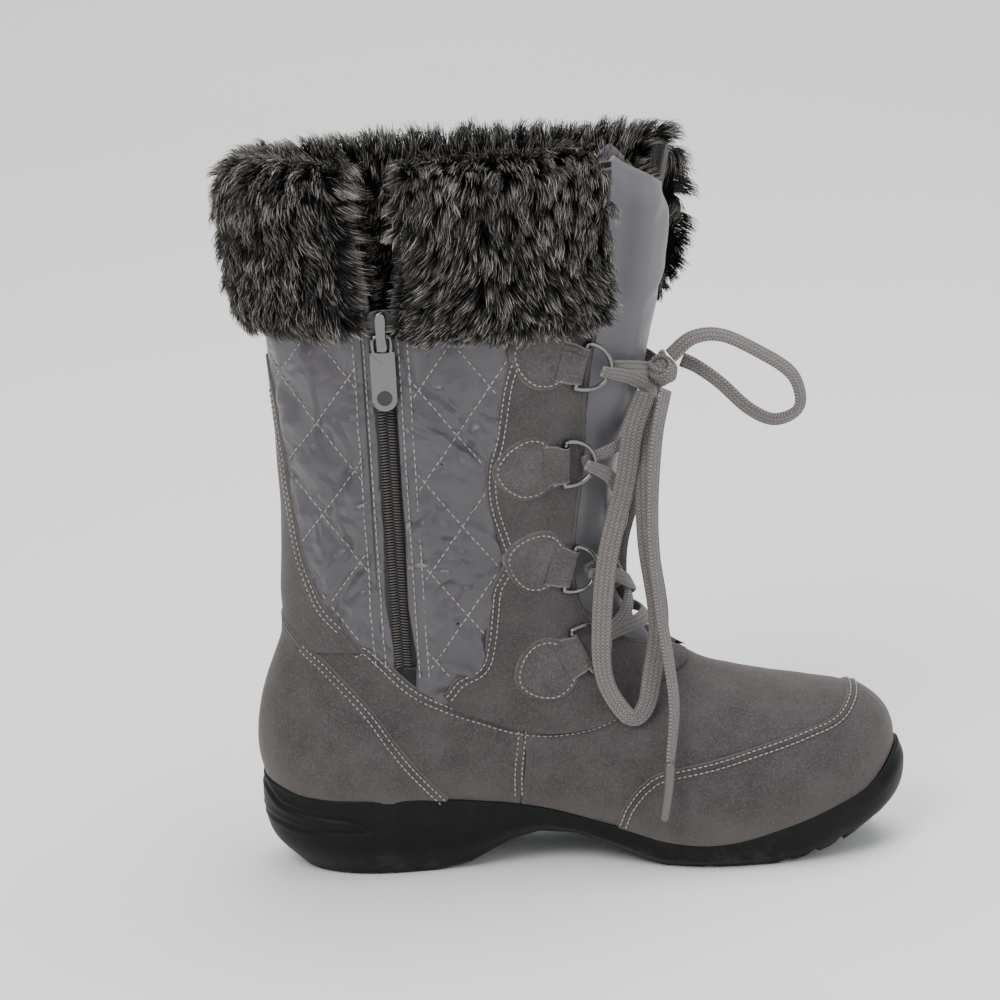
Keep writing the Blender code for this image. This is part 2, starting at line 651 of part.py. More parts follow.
TAPE_THICK = 1.4
COIL_WIDTH = 7.0
COIL_RISE = 1.5
TAPE_SINK = 1.6  # the tape lies this far below the nylon


def zip_point(z, height, sideways):
    """Point on the zip's line at height z, that far out from the boot's inner side and shifted along x."""
    u, level = place_of(ZIP_X, z, -1)
    return surface(u, level) + np.array([sideways, -height, 0.0])


def make_zip_chain():
    half, coil = ZIP_SLOT / 2 - GAP - 0.1, COIL_WIDTH / 2
    top, face = -TAPE_SINK, -TAPE_SINK + COIL_RISE
    profile = [
        (-half, top - TAPE_THICK), (half, top - TAPE_THICK), (half, top), (coil, top), (coil - 0.8, face),
        (-coil + 0.8, face), (-coil, top), (-half, top),
    ]
    heights = np.linspace(ZIP_FOOT + GAP, SLIDER_Z + 4, 16)
    sections = np.array([[zip_point(z, height, side) for side, height in profile] for z in heights])
    return add_object("zip_chain", swept_mesh(sections), (0.018, 0.018, 0.019), 0.5)


make_zip_chain()

HINGE_Z = SLIDER_Z - 3.0
HINGE_OUT = 4.6  # height of the pull's hinge above the boot's side
PULL_LENGTH = 30.0
PULL_WIDTH = 10.0
PULL_THICK = 1.4
EYE_RADIUS = 0.9  # wire of the pull's eye that turns in the slider's bridge


def zip_frame():
    """Middle of the slider on the boot's side, and the directions out of the boot and up the zip."""
    low, high = zip_point(SLIDER_Z - 8, 0.0, 0.0), zip_point(SLIDER_Z + 4, 0.0, 0.0)
    up = (high - low) / np.linalg.norm(high - low)
    out = np.cross([1.0, 0.0, 0.0], up)
    return zip_point(HINGE_Z, 0.0, 0.0), out / np.linalg.norm(out), up


def make_slider():
    """Shield-shaped plate over the coil with a bridge that holds the pull's eye."""
    origin, out, up = zip_frame()
    along_x = np.array([1.0, 0.0, 0.0])
    lift = -TAPE_SINK + COIL_RISE + GAP

    def at(side, height, rise):
        return origin + along_x * side + out * height + up * rise

    outline = [(-3.2, -4.5), (3.2, -4.5), (4.6, 1.0), (4.9, 6.0), (3.0, 8.2), (-3.0, 8.2), (-4.9, 6.0), (-4.6, 1.0)]
    plate = np.array([[at(s, h, r) for s, r in outline] for h in (lift, lift + 1.5)])
    slider = add_object("zip_slider", swept_mesh(plate), STEEL, 0.35, 1.0)
    arch = [at(0, lift + 0.9, -3.4), at(0, HINGE_OUT + 1.4, -2.6), at(0, HINGE_OUT + 2.3, 0.0)]
    arch += [at(0, HINGE_OUT + 2.1, 3.4), at(0, HINGE_OUT + 0.6, 5.8), at(0, lift + 0.9, 6.6)]
    bridge = as_mesh(tube("zip_bridge", smooth_path(arch, 12), 0.95, STEEL, 0.35, 1.0, sides=1))
    helpers.objects.link(bridge)
    boot.objects.unlink(bridge)
    bridge.hide_render = True
    bridge.display_type = "WIRE"
    combine(slider, bridge, "UNION")
    return slider


def make_pull():
    """Flat tab with a round end, hung by a square eye. It is one stamping, so it is one solid."""
    origin, out, up = zip_frame()
    pivot = origin + out * HINGE_OUT
    down = np.array([0.0, 0.0, -1.0])
    face = np.array([0.0, -1.0, 0.0])
    across = np.array([1.0, 0.0, 0.0])
    half = PULL_WIDTH / 2
    eye = 2.6  # half width of the hole that the bridge passes through
    round_end = [
        (half * math.sin(a), PULL_LENGTH - half + half * math.cos(a)) for a in np.linspace(math.pi / 2, -math.pi / 2, 9)
    ]
    # Down one side, round the end, up the other side, then back round the eye's inside through a slit-free bar.
    outline = [(3.9, -EYE_RADIUS), (3.9, 4.0), (half, 6.5), *round_end, (-half, 6.5), (-3.9, 4.0), (-3.9, -EYE_RADIUS)]
    plate = np.array(
        [[pivot + across * s + down * d + face * h for s, d in outline] for h in (-PULL_THICK / 2, PULL_THICK / 2)]
    )
    pull = add_object("zip_pull", swept_mesh(plate), STEEL, 0.3, 1.0)
    window = [(pivot[0] + s, pivot[2] - d) for s, d in ((-eye, EYE_RADIUS), (eye, EYE_RADIUS), (eye, 4.2), (-eye, 4.2))]
    combine(pull, prism("pull_eye", window, pivot[1] - 5, pivot[1] + 5, "y"), "DIFFERENCE")
    return pull


make_slider()
make_pull()

# ---------------------------------------------------------------- lacing: ring tabs, rings and lace

# Rings up the facings: side-view place of each ring's bar, and the bar's lean (top towards the toe).
RINGS = [(88.5, 92.0, -24.0), (85.0, 128.0, 20.0), (85.5, 173.0, 0.0), (94.0, 213.0, 18.0)]
RING_WIRE = 1.0  # radius of the ring's wire
RING_BAR = 9.5  # half length of the bar
RING_REACH = 12.5  # how far the bow of the D stands forward of the bar
RING_LIFT = 4.1  # height of the bar above the boot's side
TAB_OUTLINE = [
    (2.2, 8.6), (6.0, 9.2), (11.0, 13.2), (18.0, 13.8), (26.0, 10.0), (31.5, 4.0),
    (32.5, -1.5), (28.0, -8.5), (20.0, -13.2), (12.0, -12.8), (6.0, -9.2), (2.2, -8.6),
]


def ring_frame(x, z, lean, side):
    """Middle of a ring's bar, and unit directions along the bar (up), forward over the throat, and out."""
    u, level = place_of(x, z, side)
    normal = outward(u, level)
    middle = surface(u, level) + normal * RING_LIFT
    upright = np.array([math.sin(math.radians(lean)), 0.0, math.cos(math.radians(lean))])
    bar = upright - normal * (upright @ normal)
    bar /= np.linalg.norm(bar)
    forward = np.cross(bar, normal)
    if forward[0] < 0:
        forward = -forward
    return middle, bar, forward, normal


def make_ring(name, x, z, lean, side):
    middle, bar, forward, normal = ring_frame(x, z, lean, side)
    reach = (forward + normal * 0.12) / np.linalg.norm(forward + normal * 0.12)
    bow = [
        middle + bar * (RING_BAR * math.cos(a)) + reach * (RING_REACH * math.sin(a) ** 0.8)
        for a in np.linspace(0, math.pi, 10)
    ]
    straight = [middle + bar * (RING_BAR * s) for s in (-0.4, 0.4)]
    tube(name, np.array(bow + straight), RING_WIRE, STEEL, 0.25, 1.0, closed=True, sides=1)


def make_tab(name, x, z, lean, side):
    """Leaf-shaped suede tab that holds the ring's bar, on the facing."""
    middle, bar, forward, normal = ring_frame(x, z, lean, side)
    outline = []
    for back, up in smooth_path(TAB_OUTLINE, 14, closed=True):
        spot = middle - forward * back + bar * up
        outline.append(place_of(spot[0], spot[2], side))
    add_object(name, patch_mesh(outline, 0.7, 2.3), SUEDE, 0.9)


for number, (x, z, lean) in enumerate(RINGS, 1):
    for side, word in ((-1, "inner"), (1, "outer")):
        make_ring(f"ring_{word}_{number}", x, z, lean, side)
        make_tab(f"ring_tab_{word}_{number}", x, z, lean, side)

LACE_RADIUS = 2.1
LACE_HEIGHT = 3.9  # the lace's middle above the tongue's crown line
LACE_INSET = 4.2  # the CAD lace stops this far inside a ring's bow


def eyelet(number, side):
    """(u, level) just inside ring number, counted from the bottom, towards the throat's middle."""
    middle, bar, forward, normal = ring_frame(*RINGS[number - 1], side)
    spot = middle + forward * RING_REACH
    u, level = place_of(spot[0], spot[2], side)
    return np.array([float(u_at_half_width(half_width(along(u), level) - LACE_INSET, level, side)), level])


def strand(start, end, rise):
    """Points of one lace run over the tongue, between two (u, level) places."""
    share = np.linspace(0, 1, 7)
    place = start + (end - start) * share[:, None]
    height = LACE_HEIGHT + rise * np.sin(math.pi * share)
    return off_surface(place[:, 0], place[:, 1], height)


def make_crossing(name, runs):
    """Lace runs that cross over each other, joined into one solid."""
    made = [as_mesh(tube(f"{name}_{k}" if k else name, run, LACE_RADIUS, LACE, 0.9)) for k, run in enumerate(runs)]
    for other in made[1:]:
        boot.objects.unlink(other)
        helpers.objects.link(other)
        other.hide_render = True
        other.display_type = "WIRE"
        combine(made[0], other, "UNION")


RUN_SHIFT = np.array([0.0, 0.12])  # runs leave a ring this many levels above it and reach the next one below it


def lace_run(lower, lower_side, upper_side, rise):
    return strand(eyelet(lower, lower_side) + RUN_SHIFT, eyelet(lower + 1, upper_side) - RUN_SHIFT, rise)


foot_bar = strand(eyelet(1, -1) - 1.7 * RUN_SHIFT, eyelet(1, 1) - 1.7 * RUN_SHIFT, 0.0)
make_crossing("lace_bar_1", [foot_bar])
for number in (1, 2, 3):
    make_crossing(f"lace_crossing_{number}", [lace_run(number, -1, 1, 0.3), lace_run(number, 1, -1, 1.1)])

# The tied lace, as route points: knot between the top rings, a loop out to the front, a loop and an end
# hanging down the inner side, and the other end down the outer side.
TIED = {
    "lace_knot": (10, [(108, -29, 209), (117, -22, 207), (125, -11, 204), (130, -4, 207), (130, 4, 202),
                       (125, 12, 204), (117, 22, 207), (108, 29, 209)]),
    "lace_loop_right": (20, [(132, -16, 210), (141, -16, 217), (153, -14, 217), (168, -13, 209), (180, -12, 200),
                             (184, -11, 190), (182, -10, 183), (173, -9, 180), (163, -8, 185), (152, -7, 196),
                             (143, -6, 203), (137, -5, 206)]),
    "lace_loop_down": (34, [(121, -22, 197), (115, -28, 183), (111, -27, 162), (102, -31, 130), (98, -36, 98),
                            (99, -38, 82), (105, -39, 70), (110, -39, 66), (115, -37, 71), (118, -33, 82),
                            (122, -26, 104), (119, -27, 138), (120, -26, 172), (125, -20, 195)]),
    "lace_end_near": (16, [(129, -28, 199), (124, -36, 180), (121, -36, 144), (123, -34, 108), (125, -37, 88),
                           (126, -42, 70), (123, -50, 50)]),
    "lace_end_far": (15, [(128, 16, 197), (123, 28, 180), (119, 36, 150), (110, 40, 120), (109, 43, 95),
                          (113, 46, 75), (117, 49, 58)]),
}
for name, (count, route) in TIED.items():
    tube(name, smooth_path(route, count), LACE_RADIUS, LACE, 0.9)
tube("lace_tip_near", np.array([(122.8, -50.6, 47.0), (121.0, -51.2, 36.0), (119.4, -51.4, 25.5)]), 2.0, LACE, 0.4)
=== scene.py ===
"""Left snow boot with a folded fur cuff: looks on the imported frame. Sizes are in millimetres unless said."""

import math

import bpy
import numpy as np
from mathutils import Matrix, Vector


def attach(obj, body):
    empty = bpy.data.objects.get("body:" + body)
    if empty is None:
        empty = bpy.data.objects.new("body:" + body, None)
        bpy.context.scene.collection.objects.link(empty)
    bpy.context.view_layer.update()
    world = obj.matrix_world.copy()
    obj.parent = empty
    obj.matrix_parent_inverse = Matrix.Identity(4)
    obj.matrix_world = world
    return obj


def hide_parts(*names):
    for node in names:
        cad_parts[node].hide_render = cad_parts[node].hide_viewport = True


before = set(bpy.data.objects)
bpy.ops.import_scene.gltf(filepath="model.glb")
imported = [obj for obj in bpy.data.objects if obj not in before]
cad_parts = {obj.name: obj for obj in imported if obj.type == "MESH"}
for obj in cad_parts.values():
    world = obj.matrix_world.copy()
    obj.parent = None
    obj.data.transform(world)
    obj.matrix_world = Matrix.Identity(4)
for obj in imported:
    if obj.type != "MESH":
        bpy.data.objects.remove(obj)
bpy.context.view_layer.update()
MM = 0.001

# ---------------------------------------------------------------- studio
# A pale paper floor, one large soft source above and in front, one overhead, a weaker fill and one far back.
# The camera looks square at the boot's inner side from a little above, rolled by a few degrees.

CAMERA_AT = Vector((0.06049, -1.35, 0.50))
CAMERA_TARGET = Vector((0.06049, 0.0, 0.15035))
CAMERA_ROLL = math.radians(-3.247)
CAMERA_LENS = 122.5

camera_data = bpy.data.cameras.new("camera")
camera_data.lens = CAMERA_LENS
camera_data.sensor_width = 36.0
camera = bpy.data.objects.new("camera", camera_data)
look = (CAMERA_TARGET - CAMERA_AT).to_track_quat("-Z", "Y").to_matrix().to_4x4()
camera.matrix_world = Matrix.Translation(CAMERA_AT) @ look @ Matrix.Rotation(CAMERA_ROLL, 4, "Z")
bpy.context.scene.collection.objects.link(camera)
bpy.context.scene.camera = camera


def linear(hex_colour):
    """sRGB hex text to a linear colour with alpha."""
    parts = [int(hex_colour[i : i + 2], 16) / 255 for i in (1, 3, 5)]
    return (*(p / 12.92 if p <= 0.04045 else ((p + 0.055) / 1.055) ** 2.4 for p in parts), 1.0)


def add_node(tree, kind, inputs=None, **settings):
    """New node with its settings; each input is given a value or linked to a socket."""
    node = tree.nodes.new(kind)
    for key, value in settings.items():
        setattr(node, key, value)
    for key, value in (inputs or {}).items():
        if isinstance(value, bpy.types.NodeSocket):
            tree.links.new(value, node.inputs[key])
        else:
            node.inputs[key].default_value = value
    return node


def start_material(name, **sockets):
    """Material whose Principled shader's sockets take these values. Returns material, tree and shader."""
    made = bpy.data.materials.new(name)
    made.use_nodes = True
    shader = made.node_tree.nodes["Principled BSDF"]
    for key, value in sockets.items():
        shader.inputs[key.replace("_", " ")].default_value = value
    return made, made.node_tree, shader


def area_light(name, place, target, size, power, colour):
    """Round soft light at a place in metres, turned to face the target."""
    data = bpy.data.lights.new(name, "AREA")
    data.shape = "DISK"
    data.size = size
    data.energy = power
    data.color = linear(colour)[:3]
    lamp = bpy.data.objects.new(name, data)
    aim = (Vector(target) - Vector(place)).to_track_quat("-Z", "Y").to_matrix().to_4x4()
    lamp.matrix_world = Matrix.Translation(place) @ aim
    bpy.context.scene.collection.objects.link(lamp)


area_light("window", (-0.9, -1.5, 1.9), (0.05, 0.0, 0.12), 1.3, 37.0, "#fffdfa")
area_light("ceiling", (0.5, 0.3, 2.2), (0.1, 0.0, 0.0), 1.6, 33.0, "#ffffff")
area_light("fill", (1.6, -1.6, 0.9), (0.1, 0.0, 0.15), 1.2, 10.0, "#f4f8ff")
area_light("backdrop", (0.0, 3.4, 2.4), (0.0, 3.5, 0.0), 2.6, 40.0, "#ffffff")
world = bpy.data.worlds.new("studio")
world.use_nodes = True
world.node_tree.nodes["Background"].inputs["Color"].default_value = linear("#e9edf0")
world.node_tree.nodes["Background"].inputs["Strength"].default_value = 0.79
bpy.context.scene.world = world


def quad_mesh(name, points, closed=False):
    """Mesh of a grid of points in metres, rows by columns. closed joins the last column to the first."""
    rows, columns = points.shape[:2]
    index = np.arange(rows * columns).reshape(rows, columns)
    if closed:
        index = np.concatenate([index, index[:, :1]], axis=1)
    quads = np.stack([index[:-1, :-1], index[:-1, 1:], index[1:, 1:], index[1:, :-1]], axis=-1).reshape(-1, 4)
    return faces_mesh(name, points.reshape(-1, 3), quads)


def faces_mesh(name, points, quads):
    """Mesh from arrays of points in metres and quads, shaded smooth."""
    mesh = bpy.data.meshes.new(name)
    mesh.vertices.add(len(points))
    mesh.vertices.foreach_set("co", np.ascontiguousarray(points, dtype=np.float32).ravel())
    mesh.loops.add(quads.size)
    mesh.loops.foreach_set("vertex_index", np.ascontiguousarray(quads, dtype=np.int32).ravel())
    mesh.polygons.add(len(quads))
    mesh.polygons.foreach_set("loop_start", np.arange(0, quads.size, 4, dtype=np.int32))
    mesh.update(calc_edges=True)
    mesh.validate()
    mesh.shade_smooth()
    return mesh


def show(name, mesh, made, body="boot", flow=None):
    """Object of that mesh and material, riding on a body. flow is a vector for each point, for patterns."""
    if flow is not None:
        mesh.attributes.new("flow", "FLOAT_VECTOR", "POINT").data.foreach_set(
            "vector", np.ascontiguousarray(flow, dtype=np.float32).ravel()
        )
    mesh.materials.append(made)
    piece = bpy.data.objects.new(name, mesh)
    bpy.context.scene.collection.objects.link(piece)
    if body:
        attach(piece, body)
    return piece


# The paper is matt and faintly uneven, like a roll of card.
paper, tree, shader = start_material("matt_paper", Roughness=0.9, Specular_IOR_Level=0.2)
coordinates = add_node(tree, "ShaderNodeTexCoord").outputs["Object"]
cloud = add_node(
    tree, "ShaderNodeTexNoise", {"Vector": coordinates, "Scale": 1.4, "Detail": 2.0}
).outputs["Fac"]
# ShaderNodeMix keeps sockets for each data type, so the colour ones are set by place.
tone = add_node(
    tree, "ShaderNodeMix", {0: cloud, 6: linear("#f6f6f4"), 7: linear("#fbfbf9")}, data_type="RGBA"
)
tree.links.new(tone.outputs[2], shader.inputs["Base Color"])
across_floor, along_floor = np.meshgrid(np.linspace(-7, 7, 15), np.linspace(-7, 9, 17))
floor_points = np.stack([across_floor, along_floor, 0 * across_floor], axis=-1)
floor = show("paper_floor", quad_mesh("paper_floor", floor_points), paper, body=None)

# ---------------------------------------------------------------- the last
# The surface that every sewn piece lies on: closed loops stacked from the sole's edge to the collar.

HEEL_BACK, TOE_TIP, SHAFT_TOP = -41.0, 216.0, 292.0
FEATHER_X = [HEEL_BACK, -25.0, 10.0, 35.0, 62.0, 99.0, 125.0, 147.0, 170.0, 190.0, 206.0, TOE_TIP]
FEATHER_Z = [37.0, 33.0, 31.0, 29.0, 25.0, 15.0, 8.5, 8.0, 13.5, 20.0, 27.5, 38.0]
BACK_X = [
    HEEL_BACK, -43.0, -43.2, -42.3, -40.5, -37.5, -34.0, -30.8, -30.0, -30.0, -27.8, -28.5, -31.0, -33.0
]
BACK_Z = [37.0, 48.0, 56.0, 64.5, 73.0, 82.0, 91.0, 100.0, 110.0, 121.0, 151.0, 200.0, 250.0, SHAFT_TOP]
FRONT_X = [TOE_TIP, 215.5, 212.0, 204.5, 192.0, 170.0, 147.5, 129.0, 114.0, 104.5, 106.5, 121.0, 133.0, 137.0]
FRONT_Z = [38.0, 48.5, 56.5, 62.7, 66.5, 70.0, 75.0, 84.0, 97.0, 117.0, 150.0, 200.0, 250.0, SHAFT_TOP]
HEEL_W = [32.5, 33.4, 33.4, 32.8, 31.8, 31.0, 31.0, 31.5, 32.5, 33.5, 37.0, 40.0, 41.5, 42.0]
WAIST_W = [32.0, 34.0, 35.0, 35.0, 34.5, 34.0, 34.0, 34.3, 35.0, 35.5, 38.5, 41.0, 42.0, 42.0]
BALL_W = [44.5, 46.0, 45.6, 43.0, 38.5, 35.0, 34.0, 34.0, 34.5, 35.5, 38.5, 41.0, 42.0, 42.0]
BACK_ROUND = [0.22, 0.22, 0.23, 0.24, 0.26, 0.30, 0.36, 0.42, 0.46, 0.5, 0.5, 0.5, 0.5, 0.5]
TIP_LENGTH = [0.335, 0.335, 0.345, 0.375, 0.425, 0.49, 0.52, 0.52, 0.51, 0.5, 0.5, 0.5, 0.5, 0.5]
TIP_TAPER = [0.0, 0.0, 0.0, 0.0, 0.04, 0.12, 0.16, 0.14, 0.08, 0.0, 0.0, 0.0, 0.0, 0.0]
BACK_POWER = [2.3, 2.3, 2.3, 2.25, 2.2, 2.15, 2.1, 2.05, 2.0, 2.0, 2.0, 2.0, 2.0, 2.0]
FOLLOW_FEATHER = [1.0, 0.92, 0.72, 0.45, 0.25, 0.13, 0.05, 0.0, 0.0, 0.0, 0.0, 0.0, 0.0, 0.0]
FOLLOW_FOOT = [1.0, 1.0, 0.95, 0.85, 0.7, 0.5, 0.3, 0.12, 0.0, 0.0, 0.0, 0.0, 0.0, 0.0]
TOP_LEVEL = 13.0
WAIST_SHIFT, BALL_SHIFT, TIP_SHIFT = 4.5, 2.0, -8.0
THROAT_BASE = 7.2
THROAT_LEVEL = [THROAT_BASE, 7.5, 8.0, 9.0, 10.0, 11.0, 12.0, TOP_LEVEL]
THROAT_MEDIAL = [0.0, 13.0, 19.0, 23.0, 24.0, 30.0, 31.0, 30.0]
THROAT_LATERAL = [0.0, 13.0, 19.0, 23.0, 24.0, 26.0, 17.0, 9.0]


def curve_value(keys, values, at):
    """Smooth curve through (key, value) pairs: a cubic between neighbours, with the slope of the chord
    across each inner key."""
    keys, values, at = (np.asarray(a, float) for a in (keys, values, at))
    slopes = np.gradient(values, keys)
    i = np.clip(np.searchsorted(keys, at, side="right") - 1, 0, len(keys) - 2)
    span = keys[i + 1] - keys[i]
    t = np.clip((at - keys[i]) / span, 0.0, 1.0)
    rise = (values[i] * (1 + 2 * t) + slopes[i] * span * t) * (1 - t) ** 2
    return rise + (values[i + 1] * (3 - 2 * t) - slopes[i + 1] * span * (1 - t)) * t**2


def soft_step(t):
    """0 below 0, 1 above 1, and a smooth S between."""
    t = np.clip(t, 0.0, 1.0)
    return t * t * (3 - 2 * t)


def at_level(column, level):
    """Value of one of the last's columns at a level, which may lie between two rows."""
    return curve_value(range(len(column)), column, level)


def along(u):
    """Share of the loop's length from back (0) to front (1). u is 0 at the front, 1 or -1 at the back."""
    return (1 + np.cos(math.pi * np.abs(u))) / 2


def half_width(t, level):
    """Half width of the loop: heel, waist and ball widths joined, with superellipse ends."""
    heel, waist, ball = (at_level(w, level) for w in (HEEL_W, WAIST_W, BALL_W))
    body = heel + (waist - heel) * soft_step((t - 0.15) / 0.3) + (ball - waist) * soft_step((t - 0.45) / 0.3)
    power = at_level(BACK_POWER, level)
    back = np.clip(1 - t / at_level(BACK_ROUND, level), 0.0, 1.0)
    tip_length = at_level(TIP_LENGTH, level)
    tip = np.clip((t - 1 + tip_length) / tip_length, 0.0, 1.0)
    rounded = (1 - back**power) ** (1 / power) * np.sqrt(1 - tip**2)
    return body * rounded * (1 - at_level(TIP_TAPER, level) * tip**2)


def surface(u, level):
    """Point on the boot's outside: u round the loop (negative on the inner side), level up the boot. Each
    loop runs from its back point to its front point in the side view and dips with the sole's edge."""
    u, level = np.broadcast_arrays(np.asarray(u, float), np.asarray(level, float))
    t = along(u)
    back_x, front_x = at_level(BACK_X, level), at_level(FRONT_X, level)
    back_z, front_z = at_level(BACK_Z, level), at_level(FRONT_Z, level)
    feather_x = HEEL_BACK + (TOE_TIP - HEEL_BACK) * t
    dip = curve_value(FEATHER_X, FEATHER_Z, feather_x) - (FEATHER_Z[0] + (FEATHER_Z[-1] - FEATHER_Z[0]) * t)
    swing = WAIST_SHIFT * soft_step((t - 0.1) / 0.35)
    swing = swing + (BALL_SHIFT - WAIST_SHIFT) * soft_step((t - 0.45) / 0.3)
    swing = swing + (TIP_SHIFT - BALL_SHIFT) * soft_step((t - 0.7) / 0.3)
    x = back_x + (front_x - back_x) * t
    y = swing * at_level(FOLLOW_FOOT, level) + np.sign(np.sin(math.pi * u)) * half_width(t, level)
    z = back_z + (front_z - back_z) * t + at_level(FOLLOW_FEATHER, level) * dip
    return np.stack([x, y, z], axis=-1)


def outward(u, level):
    """Unit normal of the surface, pointing out of the boot."""
    step = 1e-3
    u = np.asarray(u, float)
    level = np.clip(np.asarray(level, float), step, TOP_LEVEL - step)
    across = surface(u + step, level) - surface(u - step, level)
    up = surface(u, level + step) - surface(u, level - step)
    normal = np.cross(across, up)
    return normal / np.linalg.norm(normal, axis=-1, keepdims=True)


def off_surface(u, level, height):
    """Point at that height above the boot's outside (below it where height is negative)."""
    return surface(u, level) + outward(u, level) * np.asarray(height, float)[..., None]


U_GRID, LEVEL_GRID = np.meshgrid(np.linspace(0.02, 0.98, 90), np.linspace(0, TOP_LEVEL, 131))
SEEN = surface(U_GRID, LEVEL_GRID)


def place_of(x, z, side):
    """(u, level) of the surface point at x, z on that side (-1 inner, 1 outer), by Newton's steps."""
    nearest = np.hypot(SEEN[..., 0] - x, SEEN[..., 2] - z).argmin()
    found = np.array([side * U_GRID.flat[nearest], LEVEL_GRID.flat[nearest]])
    step = 1e-4
    for _ in range(12):
        here = surface(*found)[[0, 2]]
        slope_u = (surface(found[0] + step, found[1])[[0, 2]] - here) / step
        step_up = step if found[1] < 1 else -step
        slope_level = (surface(found[0], found[1] + step_up)[[0, 2]] - here) / step_up
        move = np.linalg.solve(np.stack([slope_u, slope_level], axis=1), np.array([x, z]) - here)
        found = found + np.clip(move, [-0.05, -0.5], [0.05, 0.5])
        found = np.clip(
            found, [min(side * 0.01, side * 0.99), 0.0], [max(side * 0.01, side * 0.99), TOP_LEVEL]
        )
    return found


def u_at_half_width(half, level, side):
    """u on the front half of the loop where it is that far from the loop's middle line."""
    choices = np.linspace(0.0, 0.5, 400)
    return side * np.interp(half, half_width(along(choices), level), choices)


def seam(points, side):
    """Side-view points (x, z) turned into places (u, level) on that side."""
    return np.array([place_of(x, z, side) for x, z in points])


def even(path, count, space_of=None):
    """Points spread evenly along a smooth curve through the given ones, or at the given shares of its length.
    space_of turns the path's points into points in space, where the length is measured."""
    path = np.asarray(path, float)
    keys = np.arange(len(path))
    fine = np.linspace(0, len(path) - 1, 60 * len(path))
    line = np.stack([curve_value(keys, path[:, k], fine) for k in range(path.shape[1])], axis=1)
    space = line if space_of is None else space_of(line)
    length = np.concatenate([[0], np.cumsum(np.linalg.norm(np.diff(space, axis=0), axis=1))])
    spread = (np.linspace(0, 1, count) if np.isscalar(count) else count) * length[-1]
    return np.stack([np.interp(spread, length, line[:, k]) for k in range(path.shape[1])], axis=1)


def on_last(line):
    """Points in space of a line of places (u, level)."""
    return surface(line[:, 0], line[:, 1])


# ---------------------------------------------------------------- D-rings: where they stand
# Eight nickel-plated wire rings up the two facings. Their places are needed by the lace and by the tabs.

RINGS = [(88.5, 92.0, -24.0), (85.0, 128.0, 20.0), (85.5, 173.0, 0.0), (94.0, 213.0, 18.0)]
RING_WIRE, RING_BAR, RING_REACH, RING_LIFT = 1.0, 9.5, 12.5, 4.1


def ring_frame(x, z, lean, side):
    """Middle of a ring's bar, and unit directions along the bar (up), forward over the throat, and out."""
    u, level = place_of(x, z, side)
    normal = outward(u, level)
    middle = surface(u, level) + normal * RING_LIFT
    upright = np.array([math.sin(math.radians(lean)), 0.0, math.cos(math.radians(lean))])
    bar = upright - normal * (upright @ normal)
    bar /= np.linalg.norm(bar)
    forward = np.cross(bar, normal)
    return middle, bar, forward if forward[0] > 0 else -forward, normal


def ring_bow(number, side):
    """Far point of a ring's bow, where the lace pulls."""
    middle, bar, forward, normal = ring_frame(*RINGS[number - 1], side)
    return middle + (forward + normal * 0.12) * (RING_REACH - RING_WIRE)


# ---------------------------------------------------------------- lace
# One flat braided polyester lace, 9 mm wide, laced through the rings in crosses and tied in a bow that has
# come half undone: one loop stands out to the front, one hangs down the inner side, with one end beside it.

LACE_WIDTH, LACE_THICK = 8.6, 1.9

# Braided polyester: matt yarns in a herringbone, with a groove between the ribs; the colour carries painted
# shade, darker in the groove and between the yarns.
lace_braid, tree, shader = start_material(
    "polyester_braid", Roughness=0.85, Sheen_Weight=0.25, Sheen_Roughness=0.5
)
flow = add_node(tree, "ShaderNodeAttribute", attribute_name="flow").outputs["Vector"]
parts = add_node(tree, "ShaderNodeSeparateXYZ", {"Vector": flow})
rib = add_node(tree, "ShaderNodeMath", {0: parts.outputs["X"], 1: 1.05}, operation="PINGPONG").outputs[0]
slant = add_node(
    tree, "ShaderNodeMath", {0: rib, 1: 1.3, 2: parts.outputs["Y"]}, operation="MULTIPLY_ADD"
).outputs[0]
turn = add_node(tree, "ShaderNodeMath", {0: slant, 1: 2 * math.pi / 1.5}, operation="MULTIPLY").outputs[0]
yarn = add_node(tree, "ShaderNodeMath", {0: turn}, operation="SINE").outputs[0]
yarn = add_node(tree, "ShaderNodeMapRange", {"Value": yarn, "From Min": -1.0}).outputs[0]
painted_groove_shade = add_node(tree, "ShaderNodeMapRange", {"Value": rib, "From Max": 0.45}).outputs[0]
fuzz = add_node(tree, "ShaderNodeTexNoise", {"Vector": flow, "Scale": 0.35, "Detail": 3.0}).outputs["Fac"]
weave = add_node(tree, "ShaderNodeMath", {0: yarn, 1: painted_groove_shade}, operation="MULTIPLY").outputs[0]
# Painted shade: the colour follows the relief, darker in the groove between the ribs and on the low sides of
# each yarn.
shade = add_node(
    tree, "ShaderNodeMix", {0: weave, 6: linear("#5d5857"), 7: linear("#918b8a")}, data_type="RGBA"
)
soil = add_node(
    tree, "ShaderNodeMix", {0: fuzz, 6: shade.outputs[2], 7: linear("#d6d0cc")}, data_type="RGBA",
    blend_type="MULTIPLY"
)
tree.links.new(soil.outputs[2], shader.inputs["Base Color"])
relief = add_node(tree, "ShaderNodeBump", {"Height": weave, "Distance": 0.0005, "Strength": 0.8})
tree.links.new(relief.outputs[0], shader.inputs["Normal"])


